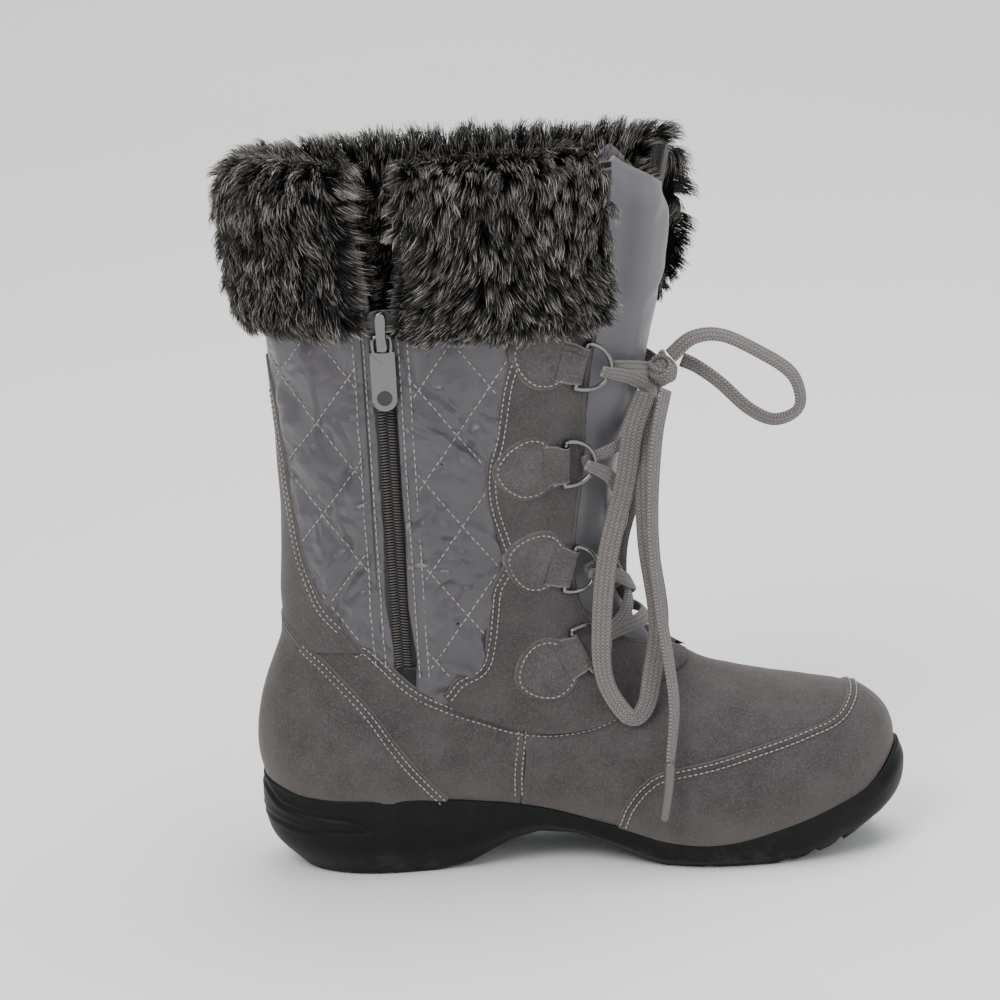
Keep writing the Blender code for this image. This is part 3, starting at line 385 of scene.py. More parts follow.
def ribbon(name, route, facing, width=LACE_WIDTH, thick=LACE_THICK, step=1.5, swell=None):
    """Flat lace: a rounded profile carried along a smooth curve through route. facing gives, at each route
    point, the direction that the lace's flat side looks. Returns the piece and its middle line in metres."""
    route, facing = np.asarray(route, float), np.asarray(facing, float)
    if facing.ndim == 1:
        facing = np.repeat(facing[None], len(route), axis=0)
    length = np.linalg.norm(np.diff(route, axis=0), axis=1).sum()
    line = even(np.concatenate([route, facing], axis=1), max(int(length / step), 8), lambda p: p[:, :3])
    middle, flat = line[:, :3], line[:, 3:]
    tangent = np.gradient(middle, axis=0)
    tangent /= np.linalg.norm(tangent, axis=1, keepdims=True)
    flat = flat - tangent * (flat * tangent).sum(axis=1, keepdims=True)
    flat /= np.linalg.norm(flat, axis=1, keepdims=True)
    sideways = np.cross(tangent, flat)
    angle = np.linspace(0, 2 * math.pi, 21)[:-1]
    across = np.sign(np.cos(angle)) * np.abs(np.cos(angle)) ** 0.55 * width / 2
    over = np.sign(np.sin(angle)) * np.abs(np.sin(angle)) ** 0.8 * thick / 2
    run = np.concatenate([[0], np.cumsum(np.linalg.norm(np.diff(middle, axis=0), axis=1))])
    narrow = np.ones(len(run)) if swell is None else np.interp(run / run[-1], *swell)
    wide = across[None, :] * narrow[:, None]
    high = over[None, :] / np.sqrt(narrow[:, None])
    points = middle[:, None] + sideways[:, None] * wide[..., None] + flat[:, None] * high[..., None]
    ends = [np.repeat(middle[[k]], len(angle), axis=0)[None] for k in (0, -1)]
    points = np.concatenate([ends[0], points, ends[1]])
    run = np.concatenate([[0], run, run[-1:]])
    pattern = np.stack(np.broadcast_arrays(across[None, :], run[:, None], 0.0), axis=-1)
    piece = show(name, quad_mesh(name, points * MM, closed=True), lace_braid, flow=pattern.reshape(-1, 3))
    return piece, middle * MM


LOOP_OUT = [
    (132, -16, 210), (141, -16, 217), (153, -14, 217), (168, -13, 209), (180, -12, 200), (184, -11, 190),
    (182, -10, 183), (173, -9, 180), (163, -8, 185), (152, -7, 196), (143, -6, 203), (137, -5, 206)
]
LOOP_DOWN = [(121, -22, 197), (115, -28, 183), (111, -27, 162), (102, -31, 130), (98, -36, 98), (99, -38, 82),
             (105, -39, 70), (110, -39, 66), (115, -37, 71), (118, -33, 82), (122, -26, 104), (119, -27, 138),
             (120, -26, 172), (125, -20, 195)]
END_NEAR = [
    (129, -28, 199), (124, -36, 180), (121, -36, 144), (123, -34, 108), (125, -37, 88), (126, -42, 70),
    (123, -50, 50)
]
END_FAR = [
    (128, 16, 197), (123, 28, 180), (119, 36, 150), (110, 40, 120), (109, 43, 95), (113, 46, 75),
    (117, 49, 58)
]
KNOT_RUN = [(108, -29, 209), (117, -22, 207), (125, -11, 204), (130, -4, 207), (130, 4, 202), (125, 12, 204),
            (117, 22, 207), (108, 29, 209)]


def declare_lace(node):
    """Hides the plain solid that a free stretch of the lace takes the place of."""
    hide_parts(node)


# The lace lies on its edge round the standing loop, and flat against the boot where it hangs.
loop_facing = [
    (0.1, -0.7, 0.7), (-0.2, -0.7, 0.7), (0.1, -0.6, 0.8), (0.4, -0.6, 0.7), (0.6, -0.6, 0.4),
    (0.75, -0.6, 0.0), (0.6, -0.7, -0.4), (0.0, -0.8, -0.6), (-0.4, -0.8, -0.5), (-0.5, -0.8, -0.4),
    (-0.5, -0.8, -0.3), (-0.4, -0.8, -0.2)
]
piece, path = ribbon("lace_loop_standing", LOOP_OUT, loop_facing, width=6.6, thick=2.6)
declare_lace("lace_loop_right")
down_facing = [(-0.3, -1, 0.1)] * 4 + [
    (-0.5, -1, 0), (-0.6, -0.9, -0.1), (-0.3, -0.9, -0.4), (0, -0.9, -0.45), (0.3, -0.9, -0.2),
    (0.3, -0.95, 0), (0.2, -1, 0), (0.1, -1, 0.1), (0, -1, 0.1), (0, -1, 0.1)
]
piece, path = ribbon("lace_loop_hanging", LOOP_DOWN, down_facing)
declare_lace("lace_loop_down")
end_piece, end_path = ribbon(
    "lace_end_inner", END_NEAR, (0.75, -0.6, 0.1), width=7.0, swell=([0, 0.85, 1.0], [1.0, 0.9, 0.6])
)
piece, path = ribbon("lace_end_outer", END_FAR, (0.4, 1.0, 0.1), swell=([0, 0.9, 1.0], [1.0, 0.95, 0.6]))
declare_lace("lace_end_far")
knot_facing = [
    (0.4, -0.9, 0.1), (0.5, -0.8, 0.3), (0.8, -0.6, 0.2), (1, -0.2, 0.3), (1, 0.2, 0.3), (0.8, 0.6, 0.2),
    (0.5, 0.8, 0.3), (0.4, 0.9, 0.1)
]
piece, path = ribbon("lace_tie", KNOT_RUN, knot_facing, width=7.0)
declare_lace("lace_knot")


def knot_turn(name, centre, radius, tilt, turn, width):
    """One turn of lace round the knot: an ellipse of ribbon, tilted, that closes on itself."""
    angle = np.linspace(0, 2 * math.pi, 25)
    ring = np.stack(
        [np.cos(angle) * radius[0], np.sin(angle) * radius[1], np.sin(angle + 0.6) * radius[2]], axis=1
    )
    spin = np.array(Matrix.Rotation(math.radians(turn), 3, "Z") @ Matrix.Rotation(math.radians(tilt), 3, "Y"))
    ring = ring @ spin.T
    ribbon(name, ring + centre, ring / np.linalg.norm(ring, axis=1, keepdims=True), width, 2.2, step=0.8)


KNOT = np.array([128.5, -13.0, 203.0])
for number, (radius, tilt, turn, width) in enumerate(
    [
        ((4.2, 4.4, 1.5), 70.0, 20.0, 7.5), ((5.0, 4.2, 1.2), 20.0, -25.0, 6.5),
        ((4.4, 4.8, 1.6), -38.0, 35.0, 6.5)
    ]
):
    knot_turn(
        f"lace_knot_turn_{number}", KNOT + (0.0, -1.0 * number, 0.8 * number), radius, tilt, turn, width
    )


def crossing(name, start, start_side, end, end_side, rise, nodes):
    """Lace run from one ring to the next one up on the other side, through both bows and over the tongue."""
    first, last = ring_bow(start, start_side), ring_bow(end, end_side)
    _, _, forward_first, normal_first = ring_frame(*RINGS[start - 1], start_side)
    _, _, forward_last, normal_last = ring_frame(*RINGS[end - 1], end_side)
    tuck_first = first - forward_first * 3.5 - normal_first * 1.8
    tuck_last = last - forward_last * 3.5 + normal_last * 2.6
    share = np.array([0.12, 0.3, 0.5, 0.7, 0.88])
    a = place_of(first[0], first[2], start_side)
    b = place_of(last[0], last[2], end_side)
    place = a + (b - a) * share[:, None]
    height = 4.2 + rise * np.sin(math.pi * share)
    over = off_surface(place[:, 0], place[:, 1], height)
    facing = outward(place[:, 0], place[:, 1])
    route = np.concatenate([[tuck_first], over, [tuck_last]])
    looks = np.concatenate([[normal_first], facing, [normal_last]])
    piece, _ = ribbon(
        name, route, looks, width=7.0, thick=1.8, swell=([0, 0.12, 0.5, 0.88, 1], [0.6, 0.75, 1, 0.75, 0.6])
    )
    if nodes:
        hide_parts(*nodes)


crossing("lace_bar_foot", 1, -1, 1, 1, 0.4, ["lace_bar_1"])
for number in (1, 2, 3):
    crossing(f"lace_run_up_{number}", number, -1, number + 1, 1, 0.5, [f"lace_crossing_{number}"])
    crossing(f"lace_run_down_{number}", number, 1, number + 1, -1, 2.6, [])

# The tip is a clear sleeve shrunk over the folded braid.
tip_film = start_material("lace_tip_film", Roughness=0.35, Coat_Weight=0.4, Base_Color=linear("#56514f"))[0]


def tube_points(line, radius, sides=16):
    """Round bar: a circle carried along a line, kept square to it. Rows follow the line."""
    line = np.asarray(line, float)
    tangent = np.gradient(line, axis=0)
    tangent /= np.linalg.norm(tangent, axis=1, keepdims=True)
    helper = np.where(np.abs(tangent[:, [2]]) < 0.8, [[0.0, 0.0, 1.0]], [[1.0, 0.0, 0.0]])
    one = np.cross(tangent, helper)
    one /= np.linalg.norm(one, axis=1, keepdims=True)
    two = np.cross(tangent, one)
    angle = np.linspace(0, 2 * math.pi, sides + 1)[:-1]
    radius = np.broadcast_to(np.asarray(radius, float), (len(line),))[:, None, None]
    return line[:, None] + radius * (
        one[:, None] * np.cos(angle)[:, None] + two[:, None] * np.sin(angle)[:, None]
    )


tip_line = even([(123.0, -50.2, 51.0), (122.0, -51.0, 40.0), (119.4, -51.4, 25.5)], 24)
tip_radius = np.interp(np.linspace(0, 1, 24), [0, 0.03, 0.1, 0.94, 0.985, 1], [0.1, 1.9, 2.1, 1.9, 1.6, 0.05])
tip = show("lace_tip", quad_mesh("lace_tip", tube_points(tip_line, tip_radius) * MM, closed=True), tip_film)
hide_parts("lace_tip_near")
declare_lace("lace_end_near")

# ---------------------------------------------------------------- upper: how its pieces are cut and sewn
# Each piece of suede or nylon fills four seams on the last. Its edge is rolled under, and rows of light
# polyester thread hold it.


def stations(length, step):
    """Shares from 0 to 1 about step apart, with three more close to each end, for the rolled edge."""
    lip = np.array([0.0, 0.35, 0.8, 1.4]) / length
    inner = np.linspace(lip[-1], 1 - lip[-1], max(int(length / step), 4))
    return np.concatenate([lip[:-1], inner, 1 - lip[-2::-1]])


def span(line):
    """Length in millimetres of the smooth curve through a line of places."""
    return np.linalg.norm(np.diff(on_last(even(line, 60, on_last)), axis=0), axis=1).sum()


def fill(bottom, top, left, right, step):
    """Places that fill four seams: the blend across plus the blend up, less that of the corners."""
    bottom, top, left, right = (np.asarray(line, float) for line in (bottom, top, left, right))
    s = stations(max(span(bottom), span(top)), step)
    middle = np.array([even(bottom, 3, on_last)[1], even(top, 3, on_last)[1]])
    t = stations(max(span(left), span(right), span(middle)), step)
    bottom, top = even(bottom, s, on_last), even(top, s, on_last)
    left, right = even(left, t, on_last), even(right, t, on_last)
    s, t = s[None, :, None], t[:, None, None]
    blend = (1 - t) * bottom[None] + t * top[None] + (1 - s) * left[:, None] + s * right[:, None]
    return blend - (1 - s) * ((1 - t) * bottom[0] + t * top[0]) - s * ((1 - t) * bottom[-1] + t * top[-1])


def edge_distance(ground, edges):
    """Distance in the sheet from each point to the nearest of the named edges (l, r, b, t)."""
    across = np.cumsum(np.linalg.norm(np.diff(ground, axis=1, prepend=ground[:, :1]), axis=2), axis=1)
    up = np.cumsum(np.linalg.norm(np.diff(ground, axis=0, prepend=ground[:1]), axis=2), axis=0)
    reach = {"l": across, "r": across[:, -1:] - across, "b": up, "t": up[-1:] - up}
    return np.min([reach[edge] for edge in edges] or [np.full(across.shape, 1e3)], axis=0)


def folds(x, z, lines):
    """Height of creases: each (x0, z0, x1, z1, half width, depth) is a soft trough with a low ridge beside it
    that fades towards both its ends."""
    height = np.zeros_like(x)
    for x0, z0, x1, z1, wide, deep in lines:
        run = np.array([x1 - x0, z1 - z0])
        share = ((x - x0) * run[0] + (z - z0) * run[1]) / (run @ run)
        inside = np.clip(share, 0, 1)
        bow = 0.12 * np.hypot(*run) * inside * (1 - inside)
        off = ((x - x0) * -run[1] + (z - z0) * run[0]) / np.hypot(*run) - bow
        gap = np.hypot(off, (share - inside) * np.hypot(*run))
        fade = np.sin(math.pi * np.clip(share, 0.02, 0.98)) ** 0.7
        height -= deep * fade * np.exp(-((gap / wide) ** 2))
        height += 0.55 * deep * fade * np.exp(-(((off - 1.9 * wide) / wide) ** 2)) * (gap < 6 * wide)
    return height


def ripple(x, y, size, seed):
    """Smooth unevenness of about -1 to 1: waves of that size in millimetres in nine directions, added up."""
    random = np.random.default_rng(seed)
    total = np.zeros_like(x)
    for turn, phase, stretch in zip(
        random.uniform(0, math.pi, 9), random.uniform(0, 6.3, 9), random.uniform(0.6, 1.7, 9)
    ):
        wave = 2 * math.pi / (size * stretch)
        total += np.sin(wave * (x * math.cos(turn) + y * math.sin(turn)) + phase)
    return total / 4.5


def sew_panel(name, seams, height, made, step=2.0, relief=None, edges="lrbt", drop=0.7, roll=1.3):
    """Piece of the upper that fills its seams, height above the last, with its named edges rolled under."""
    place = fill(*seams, step)
    ground, normal = surface(place[..., 0], place[..., 1]), outward(place[..., 0], place[..., 1])
    edge = edge_distance(ground, edges)
    lip = np.clip(edge / roll, 0, 1)
    lift = height - (height + drop) * (1 - np.sqrt(1 - (1 - lip) ** 2))
    if relief is not None:
        lift = lift + relief(ground[..., 0], ground[..., 2], edge_distance(ground, "lrbt")) * lip
    points = ground + normal * lift[..., None]
    rise = ground[..., 2] - surface(place[..., 0], 0.0)[..., 2]
    flow = np.stack([ground[..., 0], rise, np.minimum(edge, 30.0)], axis=-1)
    piece = show(name, quad_mesh(name, points * MM), made, flow=flow.reshape(-1, 3))
    return piece


THREAD_RADIUS = 0.31
thread, tree, shader = start_material("polyester_thread", Roughness=0.6, Sheen_Weight=0.2)
twist = add_node(tree, "ShaderNodeTexCoord").outputs["Object"]
worn = add_node(tree, "ShaderNodeTexNoise", {"Vector": twist, "Scale": 60.0, "Detail": 2.0}).outputs["Fac"]
tone = add_node(
    tree, "ShaderNodeMix", {0: worn, 6: linear("#777270"), 7: linear("#a39e9b")}, data_type="RGBA"
)
tree.links.new(tone.outputs[2], shader.inputs["Base Color"])


def thread_row(line, offset, height, pitch):
    """Stitches along a line of places, shifted sideways by offset, at that height (a number, or a function of
    x and z), one for each pitch: short spindles whose ends dip into the cloth. Returns points by stitch, ring
    and side."""
    line = even(line, 500, on_last)
    ground, normal = on_last(line), outward(line[:, 0], line[:, 1])
    tangent = np.gradient(ground, axis=0)
    tangent /= np.linalg.norm(tangent, axis=1, keepdims=True)
    side = np.cross(normal, tangent)
    path = ground + side * offset
    rise = height(path[:, 0], path[:, 2]) if callable(height) else height
    path = path + normal * np.broadcast_to(rise, len(path))[:, None]
    run = np.concatenate([[0], np.cumsum(np.linalg.norm(np.diff(path, axis=0), axis=1))])
    centres = np.arange(pitch / 2, run[-1], pitch)
    at, ahead, up = (
        np.stack(
            [np.interp(centres, run, a[:, k]) for k in range(3)], axis=1
        ) for a in (path, tangent, normal)
    )
    beside = np.cross(up, ahead)
    reach = 0.4 * pitch * np.array([-1.0, -0.5, 0.5, 1.0])
    radius = THREAD_RADIUS * np.array([0.3, 1.0, 1.0, 0.3])
    dip = np.array([-0.45, 0.0, 0.0, -0.45])
    angle = np.linspace(0, 2 * math.pi, 6)[:-1]
    points = at[:, None, None] + ahead[:, None, None] * reach[:, None, None]
    points = points + beside[:, None, None] * (radius[:, None] * np.cos(angle))[..., None]
    return points + up[:, None, None] * (dip[:, None] + radius[:, None] * np.sin(angle))[..., None]


def repeat_quads(count, rings, sides):
    """Quads of count equal closed tubes of rings by sides points."""
    index = np.arange(count * rings * sides).reshape(count, rings, sides)
    after = np.roll(index, -1, axis=2)
    return np.stack([index[:, :-1], after[:, :-1], after[:, 1:], index[:, 1:]], axis=-1).reshape(-1, 4)


def sew_thread(name, rows, pitch):
    """One joined piece of all the stitches of rows (line, offset, height)."""
    points = np.concatenate([thread_row(*row, pitch) for row in rows])
    mesh = faces_mesh(name, points.reshape(-1, 3) * MM, repeat_quads(*points.shape[:3]))
    piece = show(name, mesh, thread)


# ---------------------------------------------------------------- suede
# Cow split suede, buffed to a short nap: matt, mottled where the nap lies different ways, paler and a
# little yellow where it is scuffed and salted near the sole.


def suede_material(name, dark, mid, light, scuffed):
    """Suede in these four colours. The flow attribute's second value is the height above the sole, and its
    third the distance from the cut edge."""
    made, tree, shader = start_material(
        name, Roughness=0.95, Specular_IOR_Level=0.25, Sheen_Weight=0.35, Sheen_Roughness=0.6
    )
    shader.inputs["Sheen Tint"].default_value = linear("#b9b2ac")
    place = add_node(tree, "ShaderNodeTexCoord").outputs["Object"]
    flow = add_node(tree, "ShaderNodeAttribute", attribute_name="flow").outputs["Vector"]
    parts = add_node(tree, "ShaderNodeSeparateXYZ", {"Vector": flow})
    rise, edge = parts.outputs["Y"], parts.outputs["Z"]
    # Nap brushed in patches of about 9 mm, with a speckle of fibre ends about 0.8 mm across.
    patch = add_node(
        tree, "ShaderNodeTexNoise", {"Vector": place, "Scale": 75.0, "Detail": 5.0, "Roughness": 0.62}
    ).outputs["Fac"]
    speck = add_node(
        tree, "ShaderNodeTexNoise", {"Vector": place, "Scale": 1250.0, "Detail": 3.0, "Roughness": 0.75}
    ).outputs["Fac"]
    broad = add_node(
        tree, "ShaderNodeTexNoise", {"Vector": place, "Scale": 19.0, "Detail": 3.0}
    ).outputs["Fac"]
    patch = add_node(
        tree, "ShaderNodeMapRange", {"Value": patch, "From Min": 0.34, "From Max": 0.68}
    ).outputs[0]
    nap = add_node(tree, "ShaderNodeMix", {0: patch, 6: linear(dark), 7: linear(mid)}, data_type="RGBA")
    speck_share = add_node(
        tree, "ShaderNodeMapRange", {"Value": speck, "From Min": 0.46, "From Max": 0.8, "To Max": 0.7}
    ).outputs[0]
    fibre = add_node(
        tree, "ShaderNodeMix", {0: speck_share, 6: nap.outputs[2], 7: linear(light)}, data_type="RGBA"
    )
    near = add_node(
        tree, "ShaderNodeMapRange",
        {"Value": rise, "From Min": 2.0, "From Max": 24.0, "To Min": 1.0, "To Max": 0.0}
    ).outputs[0]
    scuff = add_node(tree, "ShaderNodeMath", {0: near, 1: broad}, operation="MULTIPLY").outputs[0]
    scuff = add_node(
        tree, "ShaderNodeMapRange", {"Value": scuff, "From Min": 0.15, "From Max": 0.75, "To Max": 0.7}
    ).outputs[0]
    dirt = add_node(
        tree, "ShaderNodeMix", {0: scuff, 6: fibre.outputs[2], 7: linear(scuffed)}, data_type="RGBA"
    )
    # The cut edge shows the paler split fibres.
    raw = add_node(
        tree, "ShaderNodeMapRange",
        {"Value": edge, "From Min": 0.2, "From Max": 1.0, "To Min": 0.7, "To Max": 0.0}
    ).outputs[0]
    cut = add_node(tree, "ShaderNodeMix", {0: raw, 6: dirt.outputs[2], 7: linear(light)}, data_type="RGBA")
    tree.links.new(cut.outputs[2], shader.inputs["Base Color"])
    height = add_node(
        tree, "ShaderNodeMath", {0: speck, 1: 0.5, 2: patch}, operation="MULTIPLY_ADD"
    ).outputs[0]
    # Two shallow channels where the rows of thread pull the suede down, 1.7 and 4.2 mm from the edge.
    wave = add_node(
        tree, "ShaderNodeMath", {0: edge, 1: 2 * math.pi / 2.5, 2: -1.7 * 2 * math.pi / 2.5},
        operation="MULTIPLY_ADD"
    ).outputs[0]
    wave = add_node(tree, "ShaderNodeMath", {0: wave}, operation="COSINE").outputs[0]
    sewn = add_node(
        tree, "ShaderNodeMapRange",
        {"Value": edge, "From Min": 4.6, "From Max": 5.6, "To Min": -1.3, "To Max": 0.0}
    ).outputs[0]
    height = add_node(
        tree, "ShaderNodeMath", {0: wave, 1: sewn, 2: height}, operation="MULTIPLY_ADD"
    ).outputs[0]
    relief = add_node(tree, "ShaderNodeBump", {"Height": height, "Distance": 0.0004, "Strength": 0.55})
    tree.links.new(relief.outputs[0], shader.inputs["Normal"])
    return made


suede = suede_material("cow_suede", "#363334", "#454142", "#666160", "#544e49")
suede_facing = suede_material("cow_suede_facing", "#353233", "#423e3f", "#625d5c", "#484341")

QUARTER_TOP = [
    (-3, 99), (3, 100.5), (12, 92.5), (24, 81), (35, 75), (47, 70), (64, 64), (82, 63), (104, 69), (118, 79)
]
QUARTER_SEAM = [(64, 64), (62, 47), (61, 32)]
COUNTER_TOP = [(32.5, 34), (24, 44), (13, 59), (0, 78), (-12, 91), (-22, 100)]
CAP_TOP = [(101, 19.5), (105, 29), (112, 38), (123, 44), (152, 49.5), (177, 55), (192, 58.5)]
BACKSTAY = [(3, 97), (-5, 108), (-15, 122), (-20, 139), (-23, 162), (-24.5, 180), (-27, 205)]
FACING_REAR = [
    (33, 79), (39, 86), (48, 91), (51, 100), (53, 112), (55, 124), (60.5, 134), (59, 142), (55, 160),
    (55.5, 174), (59, 186), (63, 206), (67, 218), (72, 232), (76, 250), (79, 290)
]
SEW_FOOT = 0.25  # level just under the sole's rim, where every foot piece is lasted in
# How far the outside of each layer stands above the last, and the thread's line above its cloth.
QUARTER_UP, VAMP_UP, CAP_UP, COUNTER_UP, STAY_UP, FACING_UP, NYLON_UP = 0.9, 1.0, 2.1, 2.2, 1.7, 2.5, 0.8
THREAD_UP = 0.15
THROAT_TIP = [0.0, 7.25]

quarter_top = {side: seam(QUARTER_TOP, side) for side in (-1, 1)}
quarter_seam = {side: seam(QUARTER_SEAM, side) for side in (-1, 1)}


def round_heel(line):
    """Outer-side places turned to run on past the heel, below -1."""
    return np.array([[u - 2.0, level] for u, level in line])


def level_line(first, last, level, count=9):
    """Places at one level, from the first u to the last."""
    return np.stack([np.linspace(first, last, count), np.full(count, float(level))], axis=1)


# Quarters: one band round the heel from seam to seam, under the counter and the backstay.
back_top = [[-1.14, 7.3], [-1.0, 7.0], [-0.86, 7.3]]
quarter_inner = quarter_top[-1][1:7]
quarter_outer = round_heel(quarter_top[1][1:7])
seam_u = quarter_seam[-1][-1][0]
FOOT_CREASES = [(70, 58, 100, 62, 2.4, 0.5), (30, 66, 52, 40, 4.0, 0.5), (-32, 88, -14, 70, 3.5, 0.5),
                (-30, 60, -8, 44, 5.0, 0.4), (44, 56, 62, 42, 3.5, 0.35), (118, 70, 150, 40, 5.0, 0.55),
                (132, 77, 160, 50, 5.5, 0.6), (150, 73, 172, 56, 4.5, 0.4), (100, 60, 128, 66, 3.0, 0.5)]


def down_to_sole(top, first_u, last_u):
    """The four seams of a piece that hangs from its top line and is lasted under from first_u to last_u."""
    left, right = np.array([[first_u, SEW_FOOT], top[0]]), np.array([[last_u, SEW_FOOT], top[-1]])
    return level_line(first_u, last_u, SEW_FOOT, 25), top, left, right


def foot_relief(x, z, edge):
    """Creases of wear over the foot, on soft unevenness of two sizes."""
    return folds(x, z, FOOT_CREASES) + 0.3 * ripple(x, z, 22.0, 5) + 0.1 * ripple(x, z, 7.0, 6)


top_line = np.concatenate([quarter_outer[::-1], back_top, quarter_inner])
sew_panel(
    "quarter_band", down_to_sole(top_line, -2 - seam_u, seam_u),
    QUARTER_UP, suede, relief=foot_relief, edges="t", step=2.2
)
# Vamp: from seam to seam over the front of the foot, up to the throat.
vamp_top = np.concatenate([quarter_top[-1][6:], [THROAT_TIP], quarter_top[1][6:][::-1]])
sew_panel(
    "vamp", down_to_sole(vamp_top, seam_u, -seam_u),
    VAMP_UP, suede, relief=foot_relief, edges="lrt"
)

# Toe cap and heel counter: a second layer of suede, so they stand proud.
cap_inner, cap_outer = seam(CAP_TOP, -1), seam(CAP_TOP, 1)
cap_top = np.concatenate([cap_inner, [[0.0, 3.55]], cap_outer[::-1]])
cap = sew_panel(
    "toe_cap_suede", down_to_sole(cap_top, cap_top[0][0], cap_top[-1][0]),
    CAP_UP, suede, relief=lambda x, z, edge: 0.25 * ripple(x, z, 26.0, 9), edges="lrt"
)
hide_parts("toe_cap")
counter_inner, counter_outer = seam(COUNTER_TOP, -1), round_heel(seam(COUNTER_TOP, 1))
counter_top = np.concatenate([counter_outer, [[-1.0, 8.0]], counter_inner[::-1]])
counter = sew_panel(
    "heel_counter_suede", down_to_sole(counter_top, counter_top[0][0], counter_top[-1][0]),
    COUNTER_UP, suede, relief=lambda x, z, edge: 0.35 * ripple(x, z, 24.0, 11), edges="lrt"
)
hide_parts("heel_counter")
# Backstay: a strip up the back seam, from under the counter to the cuff.
stay_inner, stay_outer = seam(BACKSTAY, -1), round_heel(seam(BACKSTAY, 1))
stay_foot = np.array([stay_outer[0], [-1.16, 6.6], [-1.0, 6.2], [-0.84, 6.6], stay_inner[0]])
stay_top = np.array([stay_outer[-1], [-1.0, 11.35], stay_inner[-1]])
sew_panel(
    "backstay", (stay_foot, stay_top, stay_outer, stay_inner), STAY_UP, suede, edges="lrt",
    relief=lambda x, z, edge: 0.3 * ripple(x, z, 18.0, 13)
)

# Facings: darker suede with a wavy rear edge, one on each side of the throat.
facing_rear = {side: seam(FACING_REAR, side) for side in (-1, 1)}


def throat_line(side):
    """Places along the throat's edge on one side, from its foot to the collar."""
    levels = np.array([7.3, 7.5, 7.8, 8.2, 8.7, 9.4, 10.2, 11.0, 11.6, 12.2, 12.6, 12.95])
    half = np.interp(levels, THROAT_LEVEL, THROAT_LATERAL if side > 0 else THROAT_MEDIAL)
    return np.array([[float(u_at_half_width(h, level, side)), level] for h, level in zip(half, levels)])


def facing_relief(x, z, edge):
    """Soft unevenness with two creases where the ankle bends."""
    return 0.3 * ripple(x, z, 20.0, 17) + folds(
        x, z, [(58, 105, 92, 110, 3.0, 0.5), (60, 150, 88, 143, 3.0, 0.4)]
    )


for side, word in ((-1, "inner"), (1, "outer")):
    # The strip between the rear edge and the throat, and below it the foot that runs out under the quarter.
    front, rear = throat_line(side), facing_rear[side]
    front = np.concatenate([[[side * 0.02, 7.0]], front])
    foot = np.array([rear[0], front[0]])
    head = np.array([rear[-1], front[-1]])
    seams = (foot, head, rear, front) if side < 0 else (foot[::-1], head[::-1], front, rear)
    sew_panel(
        f"facing_{word}", seams, FACING_UP, suede_facing, relief=facing_relief, edges="lrt"
    )
    low = np.concatenate([[rear[0] - [0, 0.3]], quarter_top[side][4:] - [0, 0.3], [[side * 0.02, 6.8]]])
    left, right = np.array([low[0], foot[0]]), np.array([low[-1], foot[-1]])
    seams = (low, foot, left, right) if side < 0 else (low[::-1], foot[::-1], right, left)
    sew_panel(
        f"facing_foot_{word}", seams, FACING_UP, suede_facing, relief=facing_relief, edges=""
    )

# ---------------------------------------------------------------- quilted shaft
# Thin wadding under a tightly woven nylon taffeta with a slight gloss, quilted in diamonds about 28 mm wide
# and 38 mm high. The cloth puckers along its seams.

QUILT_WIDE, QUILT_HIGH = 27.8, 38.0
REAR_NODE, FRONT_NODE = (3.4, 212.2), (45.0, 188.5)  # a crossing of the quilting lines in each panel
QUILT_GAP = QUILT_WIDE * QUILT_HIGH / math.hypot(QUILT_WIDE, QUILT_HIGH)

nylon, tree, shader = start_material(
    "nylon_taffeta", Roughness=0.37, Specular_IOR_Level=0.55, Sheen_Weight=0.1
)
place = add_node(tree, "ShaderNodeTexCoord").outputs["Object"]
# Creases that meet at sharp lines: distance from the middle value of a warped noise, about 14 mm apart.
warp = add_node(
    tree, "ShaderNodeTexNoise", {"Vector": place, "Scale": 27.0, "Detail": 2.0, "Distortion": 0.7}
).outputs["Fac"]
crease = add_node(tree, "ShaderNodeMath", {0: warp, 1: 0.5}, operation="SUBTRACT").outputs[0]
crease = add_node(tree, "ShaderNodeMath", {0: crease}, operation="ABSOLUTE").outputs[0]
crease = add_node(tree, "ShaderNodeMapRange", {"Value": crease, "From Max": 0.11}).outputs[0]
small = add_node(
    tree, "ShaderNodeTexNoise", {"Vector": place, "Scale": 95.0, "Detail": 3.0, "Distortion": 0.4}
).outputs["Fac"]
drape = add_node(tree, "ShaderNodeMath", {0: small, 1: 0.5, 2: crease}, operation="MULTIPLY_ADD").outputs[0]
relief = add_node(tree, "ShaderNodeBump", {"Height": drape, "Distance": 0.0027, "Strength": 0.75})
tree.links.new(relief.outputs[0], shader.inputs["Normal"])
cast = add_node(tree, "ShaderNodeTexNoise", {"Vector": place, "Scale": 30.0, "Detail": 4.0}).outputs["Fac"]
tone = add_node(
    tree, "ShaderNodeMix", {0: cast, 6: linear("#363337"), 7: linear("#504c51")}, data_type="RGBA"
)
tree.links.new(tone.outputs[2], shader.inputs["Base Color"])

SHAFT_CREASES = [
    (33, 179, 53, 167, 1.8, 1.7), (29, 188, 41, 179, 1.6, 0.8), (42, 163, 55, 148, 1.8, 0.9),
    (28, 148, 50, 139, 1.6, 0.9), (26, 158, 44, 152, 1.5, 0.6), (30, 118, 46, 104, 2.0, 0.7),
    (28, 100, 44, 112, 2.0, 0.6), (-22, 158, 8, 154, 2.0, 0.6), (-18, 136, 6, 144, 2.2, 0.5),
    (-12, 118, 8, 108, 2.0, 0.6), (34, 196, 50, 210, 2.2, 0.5), (-24, 196, -6, 188, 2.5, 0.4),
    (30, 176, 46, 168, 2.0, 0.5), (-4, 170, 9, 176, 1.8, 0.4), (24, 128, 40, 134, 1.6, 0.5)
]


